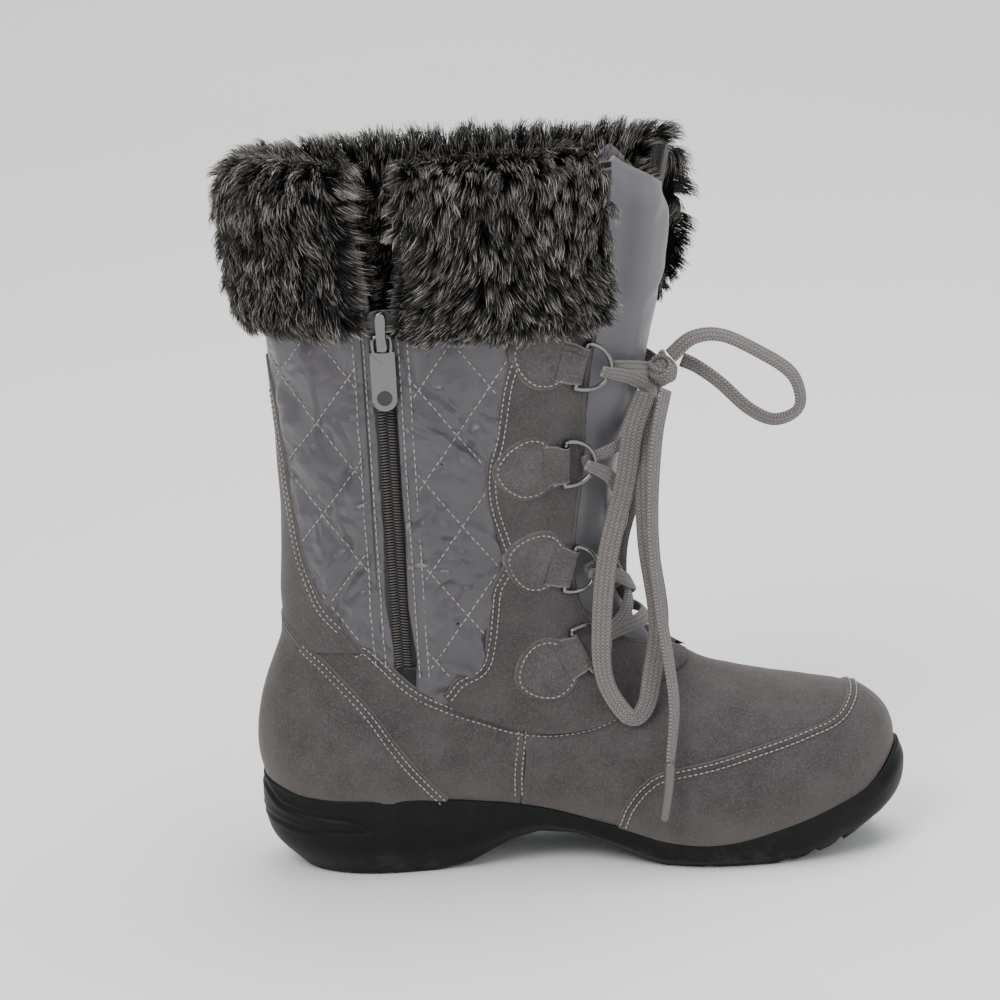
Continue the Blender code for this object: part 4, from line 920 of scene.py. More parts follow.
def quilted(node):
    """Relief of a panel whose quilting lines cross at node: puffs between two families of straight lines,
    falling to the seams, with puckers beside them."""

    def relief(x, z, edge):
        """Puff, fine puckers along lines and seams, slow waves and creases, all flattened at the edge."""
        one = (x - node[0]) / QUILT_WIDE + (z - node[1]) / QUILT_HIGH
        two = (x - node[0]) / QUILT_WIDE - (z - node[1]) / QUILT_HIGH
        near = np.minimum(np.abs(one - np.round(one)), np.abs(two - np.round(two))) * QUILT_GAP
        puff = 2.3 * (1 - np.exp(-((near / 5.5) ** 2)))
        pucker = 0.25 * np.exp(-((near / 4.0) ** 2)) * ripple(x, z, 5.0, 21)
        pucker = pucker + 0.5 * np.exp(-(((edge - 9.0) / 5.0) ** 2)) * ripple(x * 0.35, z, 6.0, 22)
        return (
            puff + pucker + 0.45 * ripple(x, z, 15.0, 23) + folds(x, z, SHAFT_CREASES)
        ) * soft_step((edge - 3.5) / 7.0)

    return relief


rear_quilt, front_quilt = quilted(REAR_NODE), quilted(FRONT_NODE)
ZIP_X, ZIP_FOOT, SLIDER_Z = 17.5, 90.0, 233.0
zip_left = seam(
    [(ZIP_X - 4.1, z) for z in (86, 110, 140, 170, 200, 225, 240)] + [(10.5, 262), (3.0, 290)], -1
)
zip_right = seam(
    [(ZIP_X + 4.1, z) for z in (78, 110, 140, 170, 200, 225, 240)] + [(27.5, 262), (35.0, 290)], -1
)
TOP_SEW = 12.95
rear_edge = np.concatenate([stay_inner[:-1] - [0.03, 0.0], [[-1.0, 11.6], [-1.0, 12.3], [-1.0, TOP_SEW]]])
rear_foot = np.array([rear_edge[0], quarter_top[-1][1] - [0.0, 0.35], zip_left[0]])
sew_panel(
    "shaft_rear_inner",
    (
        rear_foot,
        np.array([[-1.0, TOP_SEW], [(zip_left[-1][0] - 1) / 2, TOP_SEW], [zip_left[-1][0], TOP_SEW]]),
        rear_edge, zip_left
    ),
    NYLON_UP, nylon, step=1.5, relief=rear_quilt, edges="rb",
)
front_rear_edge = facing_rear[-1] + [0.035, 0.0]
front_rear_edge[0, 1] -= 0.3
front_foot = np.array([zip_right[0], quarter_top[-1][4] - [0, 0.35], front_rear_edge[0]])
sew_panel(
    "shaft_front_inner",
    (
        front_foot, np.array([zip_right[-1], (zip_right[-1] + front_rear_edge[-1]) / 2, front_rear_edge[-1]]),
        zip_right, front_rear_edge
    ),
    NYLON_UP, nylon, step=1.5, relief=front_quilt, edges="lb",
)
outer_front_edge = facing_rear[1] - [0.035, 0.0]
outer_back_edge = np.concatenate(
    [seam(BACKSTAY, 1)[:-1] + [0.03, 0.0], [[1.0, 11.6], [1.0, 12.3], [1.0, TOP_SEW]]]
)
outer_foot = np.concatenate(
    [[outer_front_edge[0]], quarter_top[1][2:5][::-1], [outer_back_edge[0]]]
) - [0.0, 0.2]
sew_panel(
    "shaft_outer",
    (
        outer_foot, np.array([outer_front_edge[-1], [0.6, TOP_SEW], [1.0, TOP_SEW]]), outer_front_edge,
        outer_back_edge
    ),
    NYLON_UP, nylon, step=1.6, relief=rear_quilt, edges="b",
)


def quilt_lines(side, node, relief, allowed):
    """Rows of stitches on the quilting lines: straight side-view lines, kept where allowed(x, z) holds."""
    rows = []
    for family in (-1, 1):
        for number in range(-9, 12):
            z = np.linspace(70, 300, 116)
            x = node[0] + QUILT_WIDE * (number - family * (z - node[1]) / QUILT_HIGH)
            keep = allowed(x, z)
            if keep.sum() > 6:
                kept = np.flatnonzero(keep)
                picked = np.unique(np.append(kept[::3], kept[-1]))
                rows.append(
                    (seam(list(zip(x[picked], z[picked])), side), 0.0, lambda x, z: 0.95 + relief(x, z, 20.0))
                )
    return rows


def between(rear, front, foot):
    """Test for side-view points that lie in front of one edge, behind another and above a foot seam."""
    rear, front, foot = (np.array(edge, float) for edge in (rear, front, foot))

    def inside(x, z):
        ahead = x > np.interp(z, rear[:, 1], rear[:, 0]) + 0.2
        behind = x < np.interp(z, front[:, 1], front[:, 0]) - 0.2
        return ahead & behind & (z > np.interp(x, foot[:, 0], foot[:, 1]) + 0.5) & (z < 262)

    return inside


back_edge = BACKSTAY + [(-27.5, 215), (-28.5, 262)]
left_of_zip = [(ZIP_X - 10.5, 80), (ZIP_X - 10.5, 262)]
right_of_zip = [(ZIP_X + 10.0, 80), (ZIP_X + 10.0, 262)]
quilting = quilt_lines(-1, REAR_NODE, rear_quilt, between(back_edge, left_of_zip, QUARTER_TOP))
quilting += quilt_lines(-1, FRONT_NODE, front_quilt, between(right_of_zip, FACING_REAR, QUARTER_TOP))
quilting += quilt_lines(1, REAR_NODE, rear_quilt, between(back_edge, FACING_REAR, QUARTER_TOP))
for x in (ZIP_X - 6.9, ZIP_X - 11.0, ZIP_X + 6.7, ZIP_X + 10.4):
    puffed = rear_quilt if x < ZIP_X else front_quilt
    row = seam([(x, z) for z in np.linspace(91 if x < ZIP_X else 86, 244, 18)], -1)
    quilting.append((row, 0.0, lambda x, z, puffed=puffed: 1.1 + puffed(x, z, np.abs(x - ZIP_X) - 4.1)))
sew_thread("quilting_thread", quilting, 3.1)

rows = []
for side in (-1, 1):
    inward = 1.0 if side < 0 else -1.0
    for offset in (-1.7, -4.2):
        rows.append((quarter_top[side], offset * inward, VAMP_UP + THREAD_UP))
    for offset in (-1.6, -4.0):
        rows.append((seam(COUNTER_TOP, side), -offset * inward, COUNTER_UP + THREAD_UP))
        rows.append((seam(BACKSTAY[1:], side), -offset * inward, STAY_UP + THREAD_UP))
        rows.append((facing_rear[side][:14], offset * inward, FACING_UP + THREAD_UP))
    for offset in (-1.2, 1.6):
        rows.append((quarter_seam[side], offset, VAMP_UP + THREAD_UP))
for offset in (-1.7, -4.2):
    rows.append((cap_top, offset, CAP_UP + THREAD_UP))
sew_thread("suede_thread", rows, 2.3)

# ---------------------------------------------------------------- tongue
# Padded nylon, plain but for soft folds, sewn in behind the facings and rounded off at the top.

TONGUE_LEVEL = [6.9, 7.4, 8.0, 9.0, 11.0, 12.0, 12.7, 13.0]
TONGUE_WIDTH = [15.0, 24.0, 29.0, 31.0, 35.0, 37.0, 36.0, 26.0]


def boot_wall(level):
    """Thickness of the boot's wall: 3 mm at the foot, 4 mm up the shaft."""
    return 3.0 + soft_step((np.asarray(level, float) - 6.0) / 4.0)


across, up = np.meshgrid(np.linspace(-1, 1, 61), np.linspace(0, 1, 130))
level = 6.9 + 6.1 * up
half = np.interp(level, TONGUE_LEVEL, TONGUE_WIDTH)
choices = np.linspace(0.0, 0.5, 400)
offsets = np.array(
    [
        np.interp(np.abs(a) * h, half_width(along(choices), lv), choices) for a, h,
        lv in zip(across, half[:, 0], level[:, 0])
    ]
)
throat = np.where(
    across < 0, np.interp(level, THROAT_LEVEL, THROAT_MEDIAL), np.interp(level, THROAT_LEVEL, THROAT_LATERAL)
)
crown = soft_step((throat - np.abs(across) * half - 5.5) / 9.0)
tucked = boot_wall(level) + 1.3 + 2.4 * soft_step((level - 11.5) / 0.4)
height = -tucked * (1 - crown) - 0.4 * crown - 1.2 * (1 - soft_step((level - 7.3) / 0.6)) * crown
cut = level - 0.34 * (1 - across**2) * soft_step(level - 12)
rolled = 3.4 * soft_step((up - 0.93) / 0.07) ** 2
top = off_surface(np.sign(across) * offsets, cut, height - rolled)
top_relief = folds(
    top[..., 1], top[..., 2],
    [(-18, 262, 6, 275, 4.0, 1.0), (-4, 236, 16, 246, 3.0, 0.8), (-16, 226, 4, 240, 3.5, 0.8)]
)
top = top + outward(np.sign(across) * offsets, cut) * (
    crown * (top_relief + 0.5 * ripple(top[..., 1], top[..., 2], 26.0, 31))
)[..., None]
under = off_surface(np.sign(across) * offsets, cut, height - 3.4)
shell = np.concatenate([top, under[:, ::-1]], axis=1)
ends = [
    shell[:1] * 0 + np.concatenate(
        [(top[row] + under[row]) / 2, ((top[row] + under[row]) / 2)[::-1]]
    )[None] for row in (0, -1)
]
shell = np.concatenate([ends[0], shell, ends[1]])
tongue_nylon, tree, shader = start_material("nylon_tongue", Roughness=0.5, Sheen_Weight=0.15)
place = add_node(tree, "ShaderNodeTexCoord").outputs["Object"]
cast = add_node(tree, "ShaderNodeTexNoise", {"Vector": place, "Scale": 36.0, "Detail": 4.0}).outputs["Fac"]
tone = add_node(
    tree, "ShaderNodeMix", {0: cast, 6: linear("#5d5a5f"), 7: linear("#6c686d")}, data_type="RGBA"
)
tree.links.new(tone.outputs[2], shader.inputs["Base Color"])
relief = add_node(tree, "ShaderNodeBump", {"Height": cast, "Distance": 0.003, "Strength": 0.35})
tree.links.new(relief.outputs[0], shader.inputs["Normal"])
tongue = show("tongue_nylon", quad_mesh("tongue_nylon", shell * MM, closed=True), tongue_nylon)
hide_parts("tongue")

# ---------------------------------------------------------------- solid forms
# Makers of closed pieces: an outline with rounded edges, and a wire bent into a ring.


def cap_quads(first, count):
    """Quads that fill a loop of points: each joins two neighbours to the two facing them."""
    i = np.arange(count // 2 - 1)
    return first + np.stack([i, i + 1, count - 2 - i, count - 1 - i], axis=1)


def capped_mesh(name, rings):
    """Closed mesh of stacked loops (millimetres) with both ends filled."""
    count, sides = rings.shape[:2]
    index = np.arange(count * sides).reshape(count, sides)
    after = np.roll(index, -1, axis=1)
    walls = np.stack([index[:-1], after[:-1], after[1:], index[1:]], axis=-1).reshape(-1, 4)
    quads = np.concatenate([walls, cap_quads(0, sides)[:, ::-1], cap_quads((count - 1) * sides, sides)])
    mesh = faces_mesh(name, rings.reshape(-1, 3) * MM, quads)
    # The ends are flat and shaded so, unless a quad without area was dropped and the order is lost.
    if len(mesh.polygons) == len(quads):
        mesh.polygons.foreach_set("use_smooth", np.arange(len(quads)) < len(walls))
    return mesh


def wire_mesh(name, line, radius, sides=10):
    """Closed wire along a closed line (millimetres)."""
    points = tube_points(np.concatenate([line[-2:], line, line[:2]]), radius, sides)[2:-2]
    index = np.arange(points.shape[0] * sides).reshape(-1, sides)
    right, above = np.roll(index, -1, axis=1), np.roll(index, -1, axis=0)
    quads = np.stack([index, right, np.roll(right, -1, axis=0), above], axis=-1).reshape(-1, 4)
    return faces_mesh(name, points.reshape(-1, 3) * MM, quads)


def soft_plate(outline, at, low, high, bevel):
    """Loops of a plate with rounded edges. at(side, height, along) gives the point in space."""
    outline = np.asarray(outline, float)
    middle = outline.mean(axis=0)
    reach = np.linalg.norm(outline - middle, axis=1, keepdims=True)
    rings = []
    for inset, height in (
        (1, low), (0.3, low + 0.3 * bevel), (0, low + bevel), (0, high - bevel), (0.3, high - 0.3 * bevel),
        (1, high)
    ):
        loop = middle + (outline - middle) * (1 - inset * bevel / reach)
        rings.append([at(a, height, b) for a, b in loop])
    return np.array(rings)


# ---------------------------------------------------------------- D-rings and their tabs
# Rings of bright nickel-plated wire. Each bar lies in the folded neck of a leaf of facing suede sewn down
# with one row of thread.

nickel, tree, shader = start_material(
    "nickel_plate", Metallic=1.0, Roughness=0.24, Base_Color=linear("#787775")
)
place = add_node(tree, "ShaderNodeTexCoord").outputs["Object"]
rub = add_node(tree, "ShaderNodeTexNoise", {"Vector": place, "Scale": 420.0, "Detail": 3.0}).outputs["Fac"]
rub = add_node(tree, "ShaderNodeMapRange", {"Value": rub, "To Min": 0.16, "To Max": 0.42}).outputs[0]
tree.links.new(rub, shader.inputs["Roughness"])
suede_tab = suede_material("cow_suede_tab", "#3d393a", "#4e494a", "#736e6d", "#544e4b")

TAB_OUTLINE = [
    (2.2, 8.6), (6.0, 9.2), (11.0, 13.2), (18.0, 13.8), (26.0, 10.0), (31.5, 4.0), (32.5, -1.5), (28.0, -8.5),
    (20.0, -13.2), (12.0, -12.8), (6.0, -9.2), (2.2, -8.6), (2.2, 8.6),
]
NECK = [
    (9.0, -1.25), (6.0, -1.0), (4.0, -0.2), (2.4, 1.2), (1.0, 2.0), (-0.6, 1.8), (-1.75, 0.7), (-1.75, -0.7),
    (-0.6, -1.7), (1.0, -2.0), (3.0, -2.4), (6.0, -2.7), (9.0, -2.9)
]
tab_rows = []
for number, (x, z, lean) in enumerate(RINGS, 1):
    for side, word in ((-1, "inner"), (1, "outer")):
        middle, bar, forward, normal = ring_frame(x, z, lean, side)
        reach = (forward + normal * 0.12) / np.linalg.norm(forward + normal * 0.12)
        turn = np.linspace(0, math.pi, 40)[:, None]
        bow = middle + bar * (RING_BAR * np.cos(turn)) + reach * (RING_REACH * np.sin(turn) ** 0.8)
        bar_line = middle + bar * (RING_BAR * np.linspace(-0.9, 0.9, 14)[:, None])
        ring = show(
            f"d_ring_{word}_{number}", wire_mesh("ring", np.concatenate([bow, bar_line]), RING_WIRE), nickel
        )
        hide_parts(f"ring_{word}_{number}")
        outline = even(TAB_OUTLINE, 61)[:-1]
        spots = middle - forward * outline[:, :1] + bar * outline[:, 1:]
        rim = seam(spots[:, [0, 2]], side)
        centre = rim.mean(axis=0)
        share = np.array([0.02, 0.3, 0.6, 0.8, 0.88, 0.93, 0.97, 1.0])
        place = centre + (rim - centre) * share[:, None, None]
        edge = (1 - share)[:, None] * np.linalg.norm(spots - spots.mean(axis=0), axis=1)
        lift = 3.1 - 2.6 * (1 - np.sqrt(1 - (1 - np.clip(edge / 1.4, 0, 1)) ** 2))
        ground = surface(place[..., 0], place[..., 1])
        lift = lift + 0.25 * ripple(ground[..., 0] + 31 * number, ground[..., 2], 16.0, 41)
        points = off_surface(place[..., 0], place[..., 1], lift)
        flow = np.stack([ground[..., 0], ground[..., 2] * 0 + 60.0, edge], axis=-1)
        leaf = show(
            f"tab_{word}_{number}", quad_mesh("tab", points[::-1 if side < 0 else 1] * MM, closed=True),
            suede_tab, flow=(flow[::-1] if side < 0 else flow).reshape(-1, 3)
        )
        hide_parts(f"ring_tab_{word}_{number}")
        profile = even(NECK, 34)
        width = np.linspace(-1, 1, 15)
        wide = 8.4 - 1.0 * np.exp(-((profile[:, 0] / 3.0) ** 2))
        points = (middle + bar * (wide[:, None] * width)[..., None] - forward * profile[:, :1, None]
                  + normal * profile[:, 1:, None])
        flow = np.zeros(points.shape)
        flow[..., 1], flow[..., 2] = 60.0, (1 - np.abs(width)) * 8.4
        neck = show(
            f"tab_neck_{word}_{number}", quad_mesh("neck", points * MM), suede_tab, flow=flow.reshape(-1, 3)
        )
        inset = centre + (rim - centre) * 0.84
        tab_rows.append((inset[3:57], 0.0, 3.2))
sew_thread("tab_thread", tab_rows, 2.3)

# ---------------------------------------------------------------- zip
# Black nylon coil on a woven tape, sewn behind the slot. A painted slider carries a nickel-plated pull with a
# round end and a small dark dimple.

zip_nylon, tree, shader = start_material("zip_nylon", Roughness=0.5, Base_Color=linear("#1b1b1c"))
place = add_node(tree, "ShaderNodeTexCoord").outputs["Object"]
rib = add_node(
    tree, "ShaderNodeTexWave", {"Vector": place, "Scale": 260.0}, bands_direction="Z"
).outputs["Fac"]
relief = add_node(tree, "ShaderNodeBump", {"Height": rib, "Distance": 0.0003, "Strength": 0.6})
tree.links.new(relief.outputs[0], shader.inputs["Normal"])
coil_nylon = start_material("zip_coil_nylon", Roughness=0.34, Base_Color=linear("#45413f"))[0]
painted_zinc = start_material(
    "zip_slider_zinc", Metallic=1.0, Roughness=0.34, Base_Color=linear("#47474a")
)[0]

zip_heights = np.linspace(80, SLIDER_Z + 6, 60)
zip_places = seam([(ZIP_X, z) for z in zip_heights], -1)
zip_line = on_last(zip_places)


def on_zip(z, side, height):
    """Point beside the zip's line at that z, moved along x by side and out of the inner side by height."""
    y = np.interp(z, zip_line[:, 2], zip_line[:, 1])
    return np.stack(np.broadcast_arrays(ZIP_X + side, y - height, z), axis=-1)


across = np.linspace(-8.5, 8.5, 18)
tape = show(
    "zip_tape", quad_mesh("zip_tape", on_zip(zip_heights[:, None], across, -1.4 + 0 * across) * MM), zip_nylon
)
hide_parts("zip_chain")
COIL_PITCH = 1.2
teeth_z = np.arange(ZIP_FOOT + 1, SLIDER_Z - 2, COIL_PITCH)
turn = np.linspace(0, 2 * math.pi, 9)[:-1]
reach = np.array([-0.98, -0.8, -0.3, 0.3, 0.8, 0.98])
swell = np.sqrt(1 - reach**2)
teeth = []
for hand in (-1, 1):
    # Each tooth is a short bar across the coil, tilted up towards the middle.
    side = hand * 1.8 + reach[:, None] * 2.0 + 0 * turn
    rise = swell[:, None] * 0.44 * np.sin(turn) - hand * reach[:, None] * 0.2
    lift = -0.75 + swell[:, None] * 0.85 * np.cos(turn)
    z = teeth_z[:, None, None] + (0 if hand < 0 else COIL_PITCH / 2) + rise
    teeth.append(on_zip(z, side, lift))
teeth = np.concatenate(teeth)
coil = show(
    "zip_coil", faces_mesh("zip_coil", teeth.reshape(-1, 3) * MM, repeat_quads(*teeth.shape[:3])), coil_nylon
)

HINGE_OUT, PULL_LENGTH, PULL_HALF = 4.6, 30.0, 5.0
hinge = on_zip(SLIDER_Z - 3.0, 0.0, 0.0)
slider_up = on_zip(SLIDER_Z + 4, 0.0, 0.0) - on_zip(SLIDER_Z - 8, 0.0, 0.0)
slider_up /= np.linalg.norm(slider_up)
slider_out = np.cross([1.0, 0.0, 0.0], slider_up)


def on_slider(side, height, rise):
    """Point on the slider from the hinge: across, out of the boot and up the zip."""
    return hinge + np.array([side, 0, 0]) + slider_out * height + slider_up * rise


plate = even(
    [(-4.2, -7), (4.2, -7), (5.2, 0), (5.6, 6), (4, 9.6), (-4, 9.6), (-5.6, 6), (-5.2, 0), (-4.2, -7)], 41
)[:-1]
body = show(
    "slider_plate", capped_mesh("slider_plate", soft_plate(plate, on_slider, -0.2, 1.7, 0.6)), painted_zinc
)
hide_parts("zip_slider")
arch = even([(-1.9, -5.6), (1.9, -5.6), (2.0, 0), (1.9, 9.0), (-1.9, 9.0), (-2.0, 0), (-1.9, -5.6)], 33)[:-1]
bridge = show(
    "slider_bridge", capped_mesh("slider_bridge", soft_plate(arch, on_slider, 1.2, 7.0, 0.7)), nickel
)


def on_pull(side, height, down):
    """Point on the pull as it hangs from its hinge: across, out of the boot and down."""
    return hinge + slider_out * HINGE_OUT + np.array([side, -height, -down])


turn = np.linspace(-math.pi / 2, math.pi / 2, 15)
round_end = [(PULL_HALF * math.sin(a), PULL_LENGTH - PULL_HALF + PULL_HALF * math.cos(a)) for a in turn]
blade = even([(4.4, 6.2), (-4.4, 6.2), (-5.0, 7.4), *round_end, (5.0, 7.4), (4.4, 6.2)], 81)[:-1]
pull = show(
    "pull_blade", capped_mesh("pull_blade", soft_plate(blade, on_pull, -0.7, 0.7, 0.35)), nickel, body="pull"
)
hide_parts("zip_pull")
eye = even(
    [
        on_pull(*spot) for spot in (
            (-3.4, 0, 6.8), (-3.5, 0, 1.2), (-2.4, 0, 0), (2.4, 0, 0), (3.5, 0, 1.2), (3.4, 0, 6.8)
        )
    ],
    40
)
eye_piece = show("pull_eye", capped_mesh("pull_eye", tube_points(eye, 0.85, 10)), nickel, body="pull")
dimple_ring = [
    (3.1 * math.sin(a), PULL_LENGTH - 5.4 + 3.1 * math.cos(a)) for a in np.linspace(0, 2 * math.pi, 33)[:-1]
]
dimple = show(
    "pull_dimple", capped_mesh("pull_dimple", soft_plate(dimple_ring, on_pull, 0.2, 0.78, 0.15)),
    painted_zinc, body="pull"
)

# ---------------------------------------------------------------- unit sole
# Black rubber moulded in one with heel, arch, lugs and a rim that cups the suede. A hook-shaped line is
# moulded on each side of the heel.

rubber, tree, shader = start_material("moulded_rubber", Roughness=0.52, Specular_IOR_Level=0.2)
place = add_node(tree, "ShaderNodeTexCoord").outputs["Object"]
grain = add_node(tree, "ShaderNodeTexNoise", {"Vector": place, "Scale": 900.0, "Detail": 2.0}).outputs["Fac"]
dust = add_node(
    tree, "ShaderNodeTexNoise", {"Vector": place, "Scale": 90.0, "Detail": 6.0, "Roughness": 0.7}
).outputs["Fac"]
low = add_node(tree, "ShaderNodeSeparateXYZ", {"Vector": place}).outputs["Z"]
low = add_node(
    tree, "ShaderNodeMapRange", {"Value": low, "From Max": 0.016, "To Min": 0.25, "To Max": 0.03}
).outputs[0]
dust = add_node(tree, "ShaderNodeMapRange", {"Value": dust, "From Min": 0.5, "From Max": 0.8}).outputs[0]
dust = add_node(tree, "ShaderNodeMath", {0: dust, 1: low}, operation="MULTIPLY").outputs[0]
tone = add_node(
    tree, "ShaderNodeMix", {0: dust, 6: linear("#070708"), 7: linear("#6f6c68")}, data_type="RGBA"
)
tree.links.new(tone.outputs[2], shader.inputs["Base Color"])
relief = add_node(tree, "ShaderNodeBump", {"Height": grain, "Distance": 0.0002, "Strength": 0.35})
tree.links.new(relief.outputs[0], shader.inputs["Normal"])

GROUND_X = [-60.0, 26.0, 40.0, 48.0, 57.0, 69.0, 84.0, 101.0, 112.0, 120.0, 165.0, 178.0, 192.0, 205.0, 214.0]
GROUND_Z = [0.0, 0.0, 2.6, 6.5, 11.0, 14.0, 12.6, 6.6, 2.2, 0.0, 0.0, 2.0, 5.6, 9.6, 13.0]
OFFSET_T = [0.0, 0.1, 0.3, 0.5, 0.72, 0.9, 1.0]
BOTTOM_OFFSET = [-11.0, -7.0, -5.0, -3.5, -1.5, -2.5, -6.0]
BULGE_OFFSET = [4.0, 3.2, 2.6, 2.4, 2.6, 3.6, 6.0]
RIM_OFFSET = [3.2, 2.9, 2.8, 2.7, 2.8, 3.2, 4.0]
HEEL_HOOK = [
    (-46, 40), (-37, 31.5), (-25, 28.5), (-10, 27.0), (-3, 25.2), (0.5, 22.4), (-4, 21.6), (-15, 21.6),
    (-29, 22.0), (-40, 24.5), (-46, 26)
]


def tread_cut(x):
    """Depth of the tread: straight grooves under heel and ball, saw teeth that face back under the toe."""
    cut = np.zeros_like(x)
    for centre in (-12.0, 6.0, 124.0, 138.0):
        cut = np.maximum(cut, 2.6 * soft_step(2.2 - np.abs(x - centre) / 1.0))
    tooth = np.where((x > 160) & (x < 205), (x - 160) % 11.2 / 11.2, 0.0)
    return np.maximum(cut, 2.4 * soft_step((tooth - 0.45) / 0.5))


def line_distance(x, z, line):
    """Distance in the side view from each point to a broken line."""
    nearest = np.full(x.shape, 1e3)
    for (x0, z0), (x1, z1) in zip(line[:-1], line[1:]):
        share = np.clip(
            ((x - x0) * (x1 - x0) + (z - z0) * (z1 - z0)) / ((x1 - x0) ** 2 + (z1 - z0) ** 2), 0, 1
        )
        nearest = np.minimum(nearest, np.hypot(x - x0 - share * (x1 - x0), z - z0 - share * (z1 - z0)))
    return nearest


u = np.linspace(-1, 1, 421)[:-1]
t = along(u)
edge, edge_out = surface(u, 0.0), outward(u, 0.0)[:, :2]
edge_out /= np.linalg.norm(edge_out, axis=1, keepdims=True)
rim = edge[:, 2] + 4.0
bottom, bulge, top = (
    curve_value(OFFSET_T, offset, t) for offset in (BOTTOM_OFFSET, BULGE_OFFSET, RIM_OFFSET)
)


def ground_under(offset):
    """Height of the sole's underside, tread cut in, at that distance out from the boot's edge."""
    x = edge[:, 0] + edge_out[:, 0] * offset
    return np.maximum(np.interp(x, GROUND_X, GROUND_Z), 0.0) + tread_cut(x)


ground = np.maximum(np.interp(edge[:, 0] + edge_out[:, 0] * bottom, GROUND_X, GROUND_Z), 0.0)
side_loops = np.array([
    [bottom, np.where(edge[:, 0] > 150, np.maximum(ground + 1.2, ground_under(bottom)), ground + 1.2)],
    [bottom * 0.2 + bulge * 0.8, ground + (rim - ground) * 0.36],
    [bulge, ground + (rim - ground) * 0.72],
    [top, rim - 0.8],
])
rows = np.linspace(0, 3, 46)
side_loops = np.stack(
    [
        np.stack(
            [curve_value(range(4), side_loops[:, k, i], rows) for i in range(len(u))], axis=1
        ) for k in (0, 1)
    ],
    axis=1
)
loops = [
    [bottom - 1.6, ground_under(bottom - 1.6)], *side_loops, [top - 0.2, rim - 0.2], [top - 0.8, rim],
    [0 * t + 1.2, rim - 0.1], [0 * t + 0.6, rim - 4.3]
]
points = np.array(
    [
        np.concatenate([edge[:, :2] + edge_out * offset[:, None], height[:, None]], axis=1) for offset,
        height in loops
    ]
)
hook = line_distance(points[..., 0], points[..., 2], HEEL_HOOK)
carve = 0.75 * np.exp(-((hook / 0.75) ** 2)) - 0.35 * np.exp(-(((hook - 1.9) / 0.9) ** 2))
carve[-3:] = 0
points[..., :2] -= edge_out * carve[..., None]
sole = show("rubber_sole", capped_mesh("rubber_sole", points), rubber)
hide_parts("sole")

# ---------------------------------------------------------------- lining and footbed
# Black fleece inside the whole boot, and a felt footbed.

fleece, tree, shader = start_material(
    "black_fleece", Roughness=1.0, Sheen_Weight=0.25, Base_Color=linear("#0e0d0e")
)
place = add_node(tree, "ShaderNodeTexCoord").outputs["Object"]
loop_noise = add_node(
    tree, "ShaderNodeTexNoise", {"Vector": place, "Scale": 520.0, "Detail": 4.0}
).outputs["Fac"]
relief = add_node(tree, "ShaderNodeBump", {"Height": loop_noise, "Distance": 0.0016, "Strength": 0.9})
tree.links.new(relief.outputs[0], shader.inputs["Normal"])
felt, tree, shader = start_material(
    "felt_footbed", Roughness=1.0, Sheen_Weight=0.3, Base_Color=linear("#2b2929")
)
place = add_node(tree, "ShaderNodeTexCoord").outputs["Object"]
fibre = add_node(tree, "ShaderNodeTexNoise", {"Vector": place, "Scale": 700.0, "Detail": 3.0}).outputs["Fac"]
relief = add_node(tree, "ShaderNodeBump", {"Height": fibre, "Distance": 0.0006, "Strength": 0.7})
tree.links.new(relief.outputs[0], shader.inputs["Normal"])
for node, made in (("upper", fleece), ("insole", felt)):
    for slot in bpy.data.objects[node].material_slots:
        slot.material = made

# ---------------------------------------------------------------- fur cuff
# Long-pile fur on a knitted back, folded over the collar and open at the zip and at the front. The pile is
# black at the root, and most fibres are frosted grey-brown at the tip. It lies outwards over the roll and
# down.

pile_back = start_material("fur_knit_back", Roughness=1.0, Base_Color=linear("#090808"))[0]
fur, tree, shader = start_material("fur_pile", Roughness=0.5, Specular_IOR_Level=0.35)
flow = add_node(tree, "ShaderNodeAttribute", attribute_name="flow").outputs["Vector"]
parts = add_node(tree, "ShaderNodeSeparateXYZ", {"Vector": flow})
ramp = add_node(
    tree, "ShaderNodeMapRange", {"Value": parts.outputs["X"], "From Min": 0.5, "From Max": 0.92}
).outputs[0]
frost = add_node(tree, "ShaderNodeMath", {0: ramp, 1: parts.outputs["Y"]}, operation="MULTIPLY").outputs[0]
tone = add_node(
    tree, "ShaderNodeMix", {0: frost, 6: linear("#0b0a0a"), 7: linear("#d3c8bd")}, data_type="RGBA"
)
tree.links.new(tone.outputs[2], shader.inputs["Base Color"])

FUR_BASE = [
    (-5.6, 230), (-6.4, 252), (-6.6, 274), (-5.0, 286), (-1.0, 291.0), (4.0, 290), (7.6, 283), (8.8, 270),
    (9.0, 254), (8.0, 243), (5.4, 237), (2.6, 237.5)
]
SHAFT_LEVEL = np.arange(len(BACK_Z))


def fur_base(u, share, full, drop):
    """Point on the knitted back: u round the shaft, share over the fold from inside foot to outside foot,
    which hangs lower by drop."""
    keys = np.linspace(0, 1, len(FUR_BASE))
    out = curve_value(keys, [spot[0] for spot in FUR_BASE], share)
    z = curve_value(keys, [spot[1] for spot in FUR_BASE], share)
    z = z - drop * soft_step((share - 0.6) / 0.4)
    out = np.where(out > 0, out * full, out)
    level = np.interp(z, BACK_Z, SHAFT_LEVEL)
    point, normal = surface(u, level), outward(u, level)
    normal[..., 2] = 0.0
    normal /= np.linalg.norm(normal, axis=-1, keepdims=True)
    point = point + normal * out[..., None]
    point[..., 2] = z
    return point


def flap_fullness(share, last_full, swell):
    """1 along the flap, thinner within a tenth of its ends; swell makes the first end fuller instead."""
    first = np.maximum(soft_step(share / 0.1), swell > 0)
    last = soft_step((1 - share) / 0.1)
    full = 0.45 + 0.55 * np.minimum(first, np.maximum(last, last_full))
    return full + swell * np.exp(-((share / 0.14) ** 2))


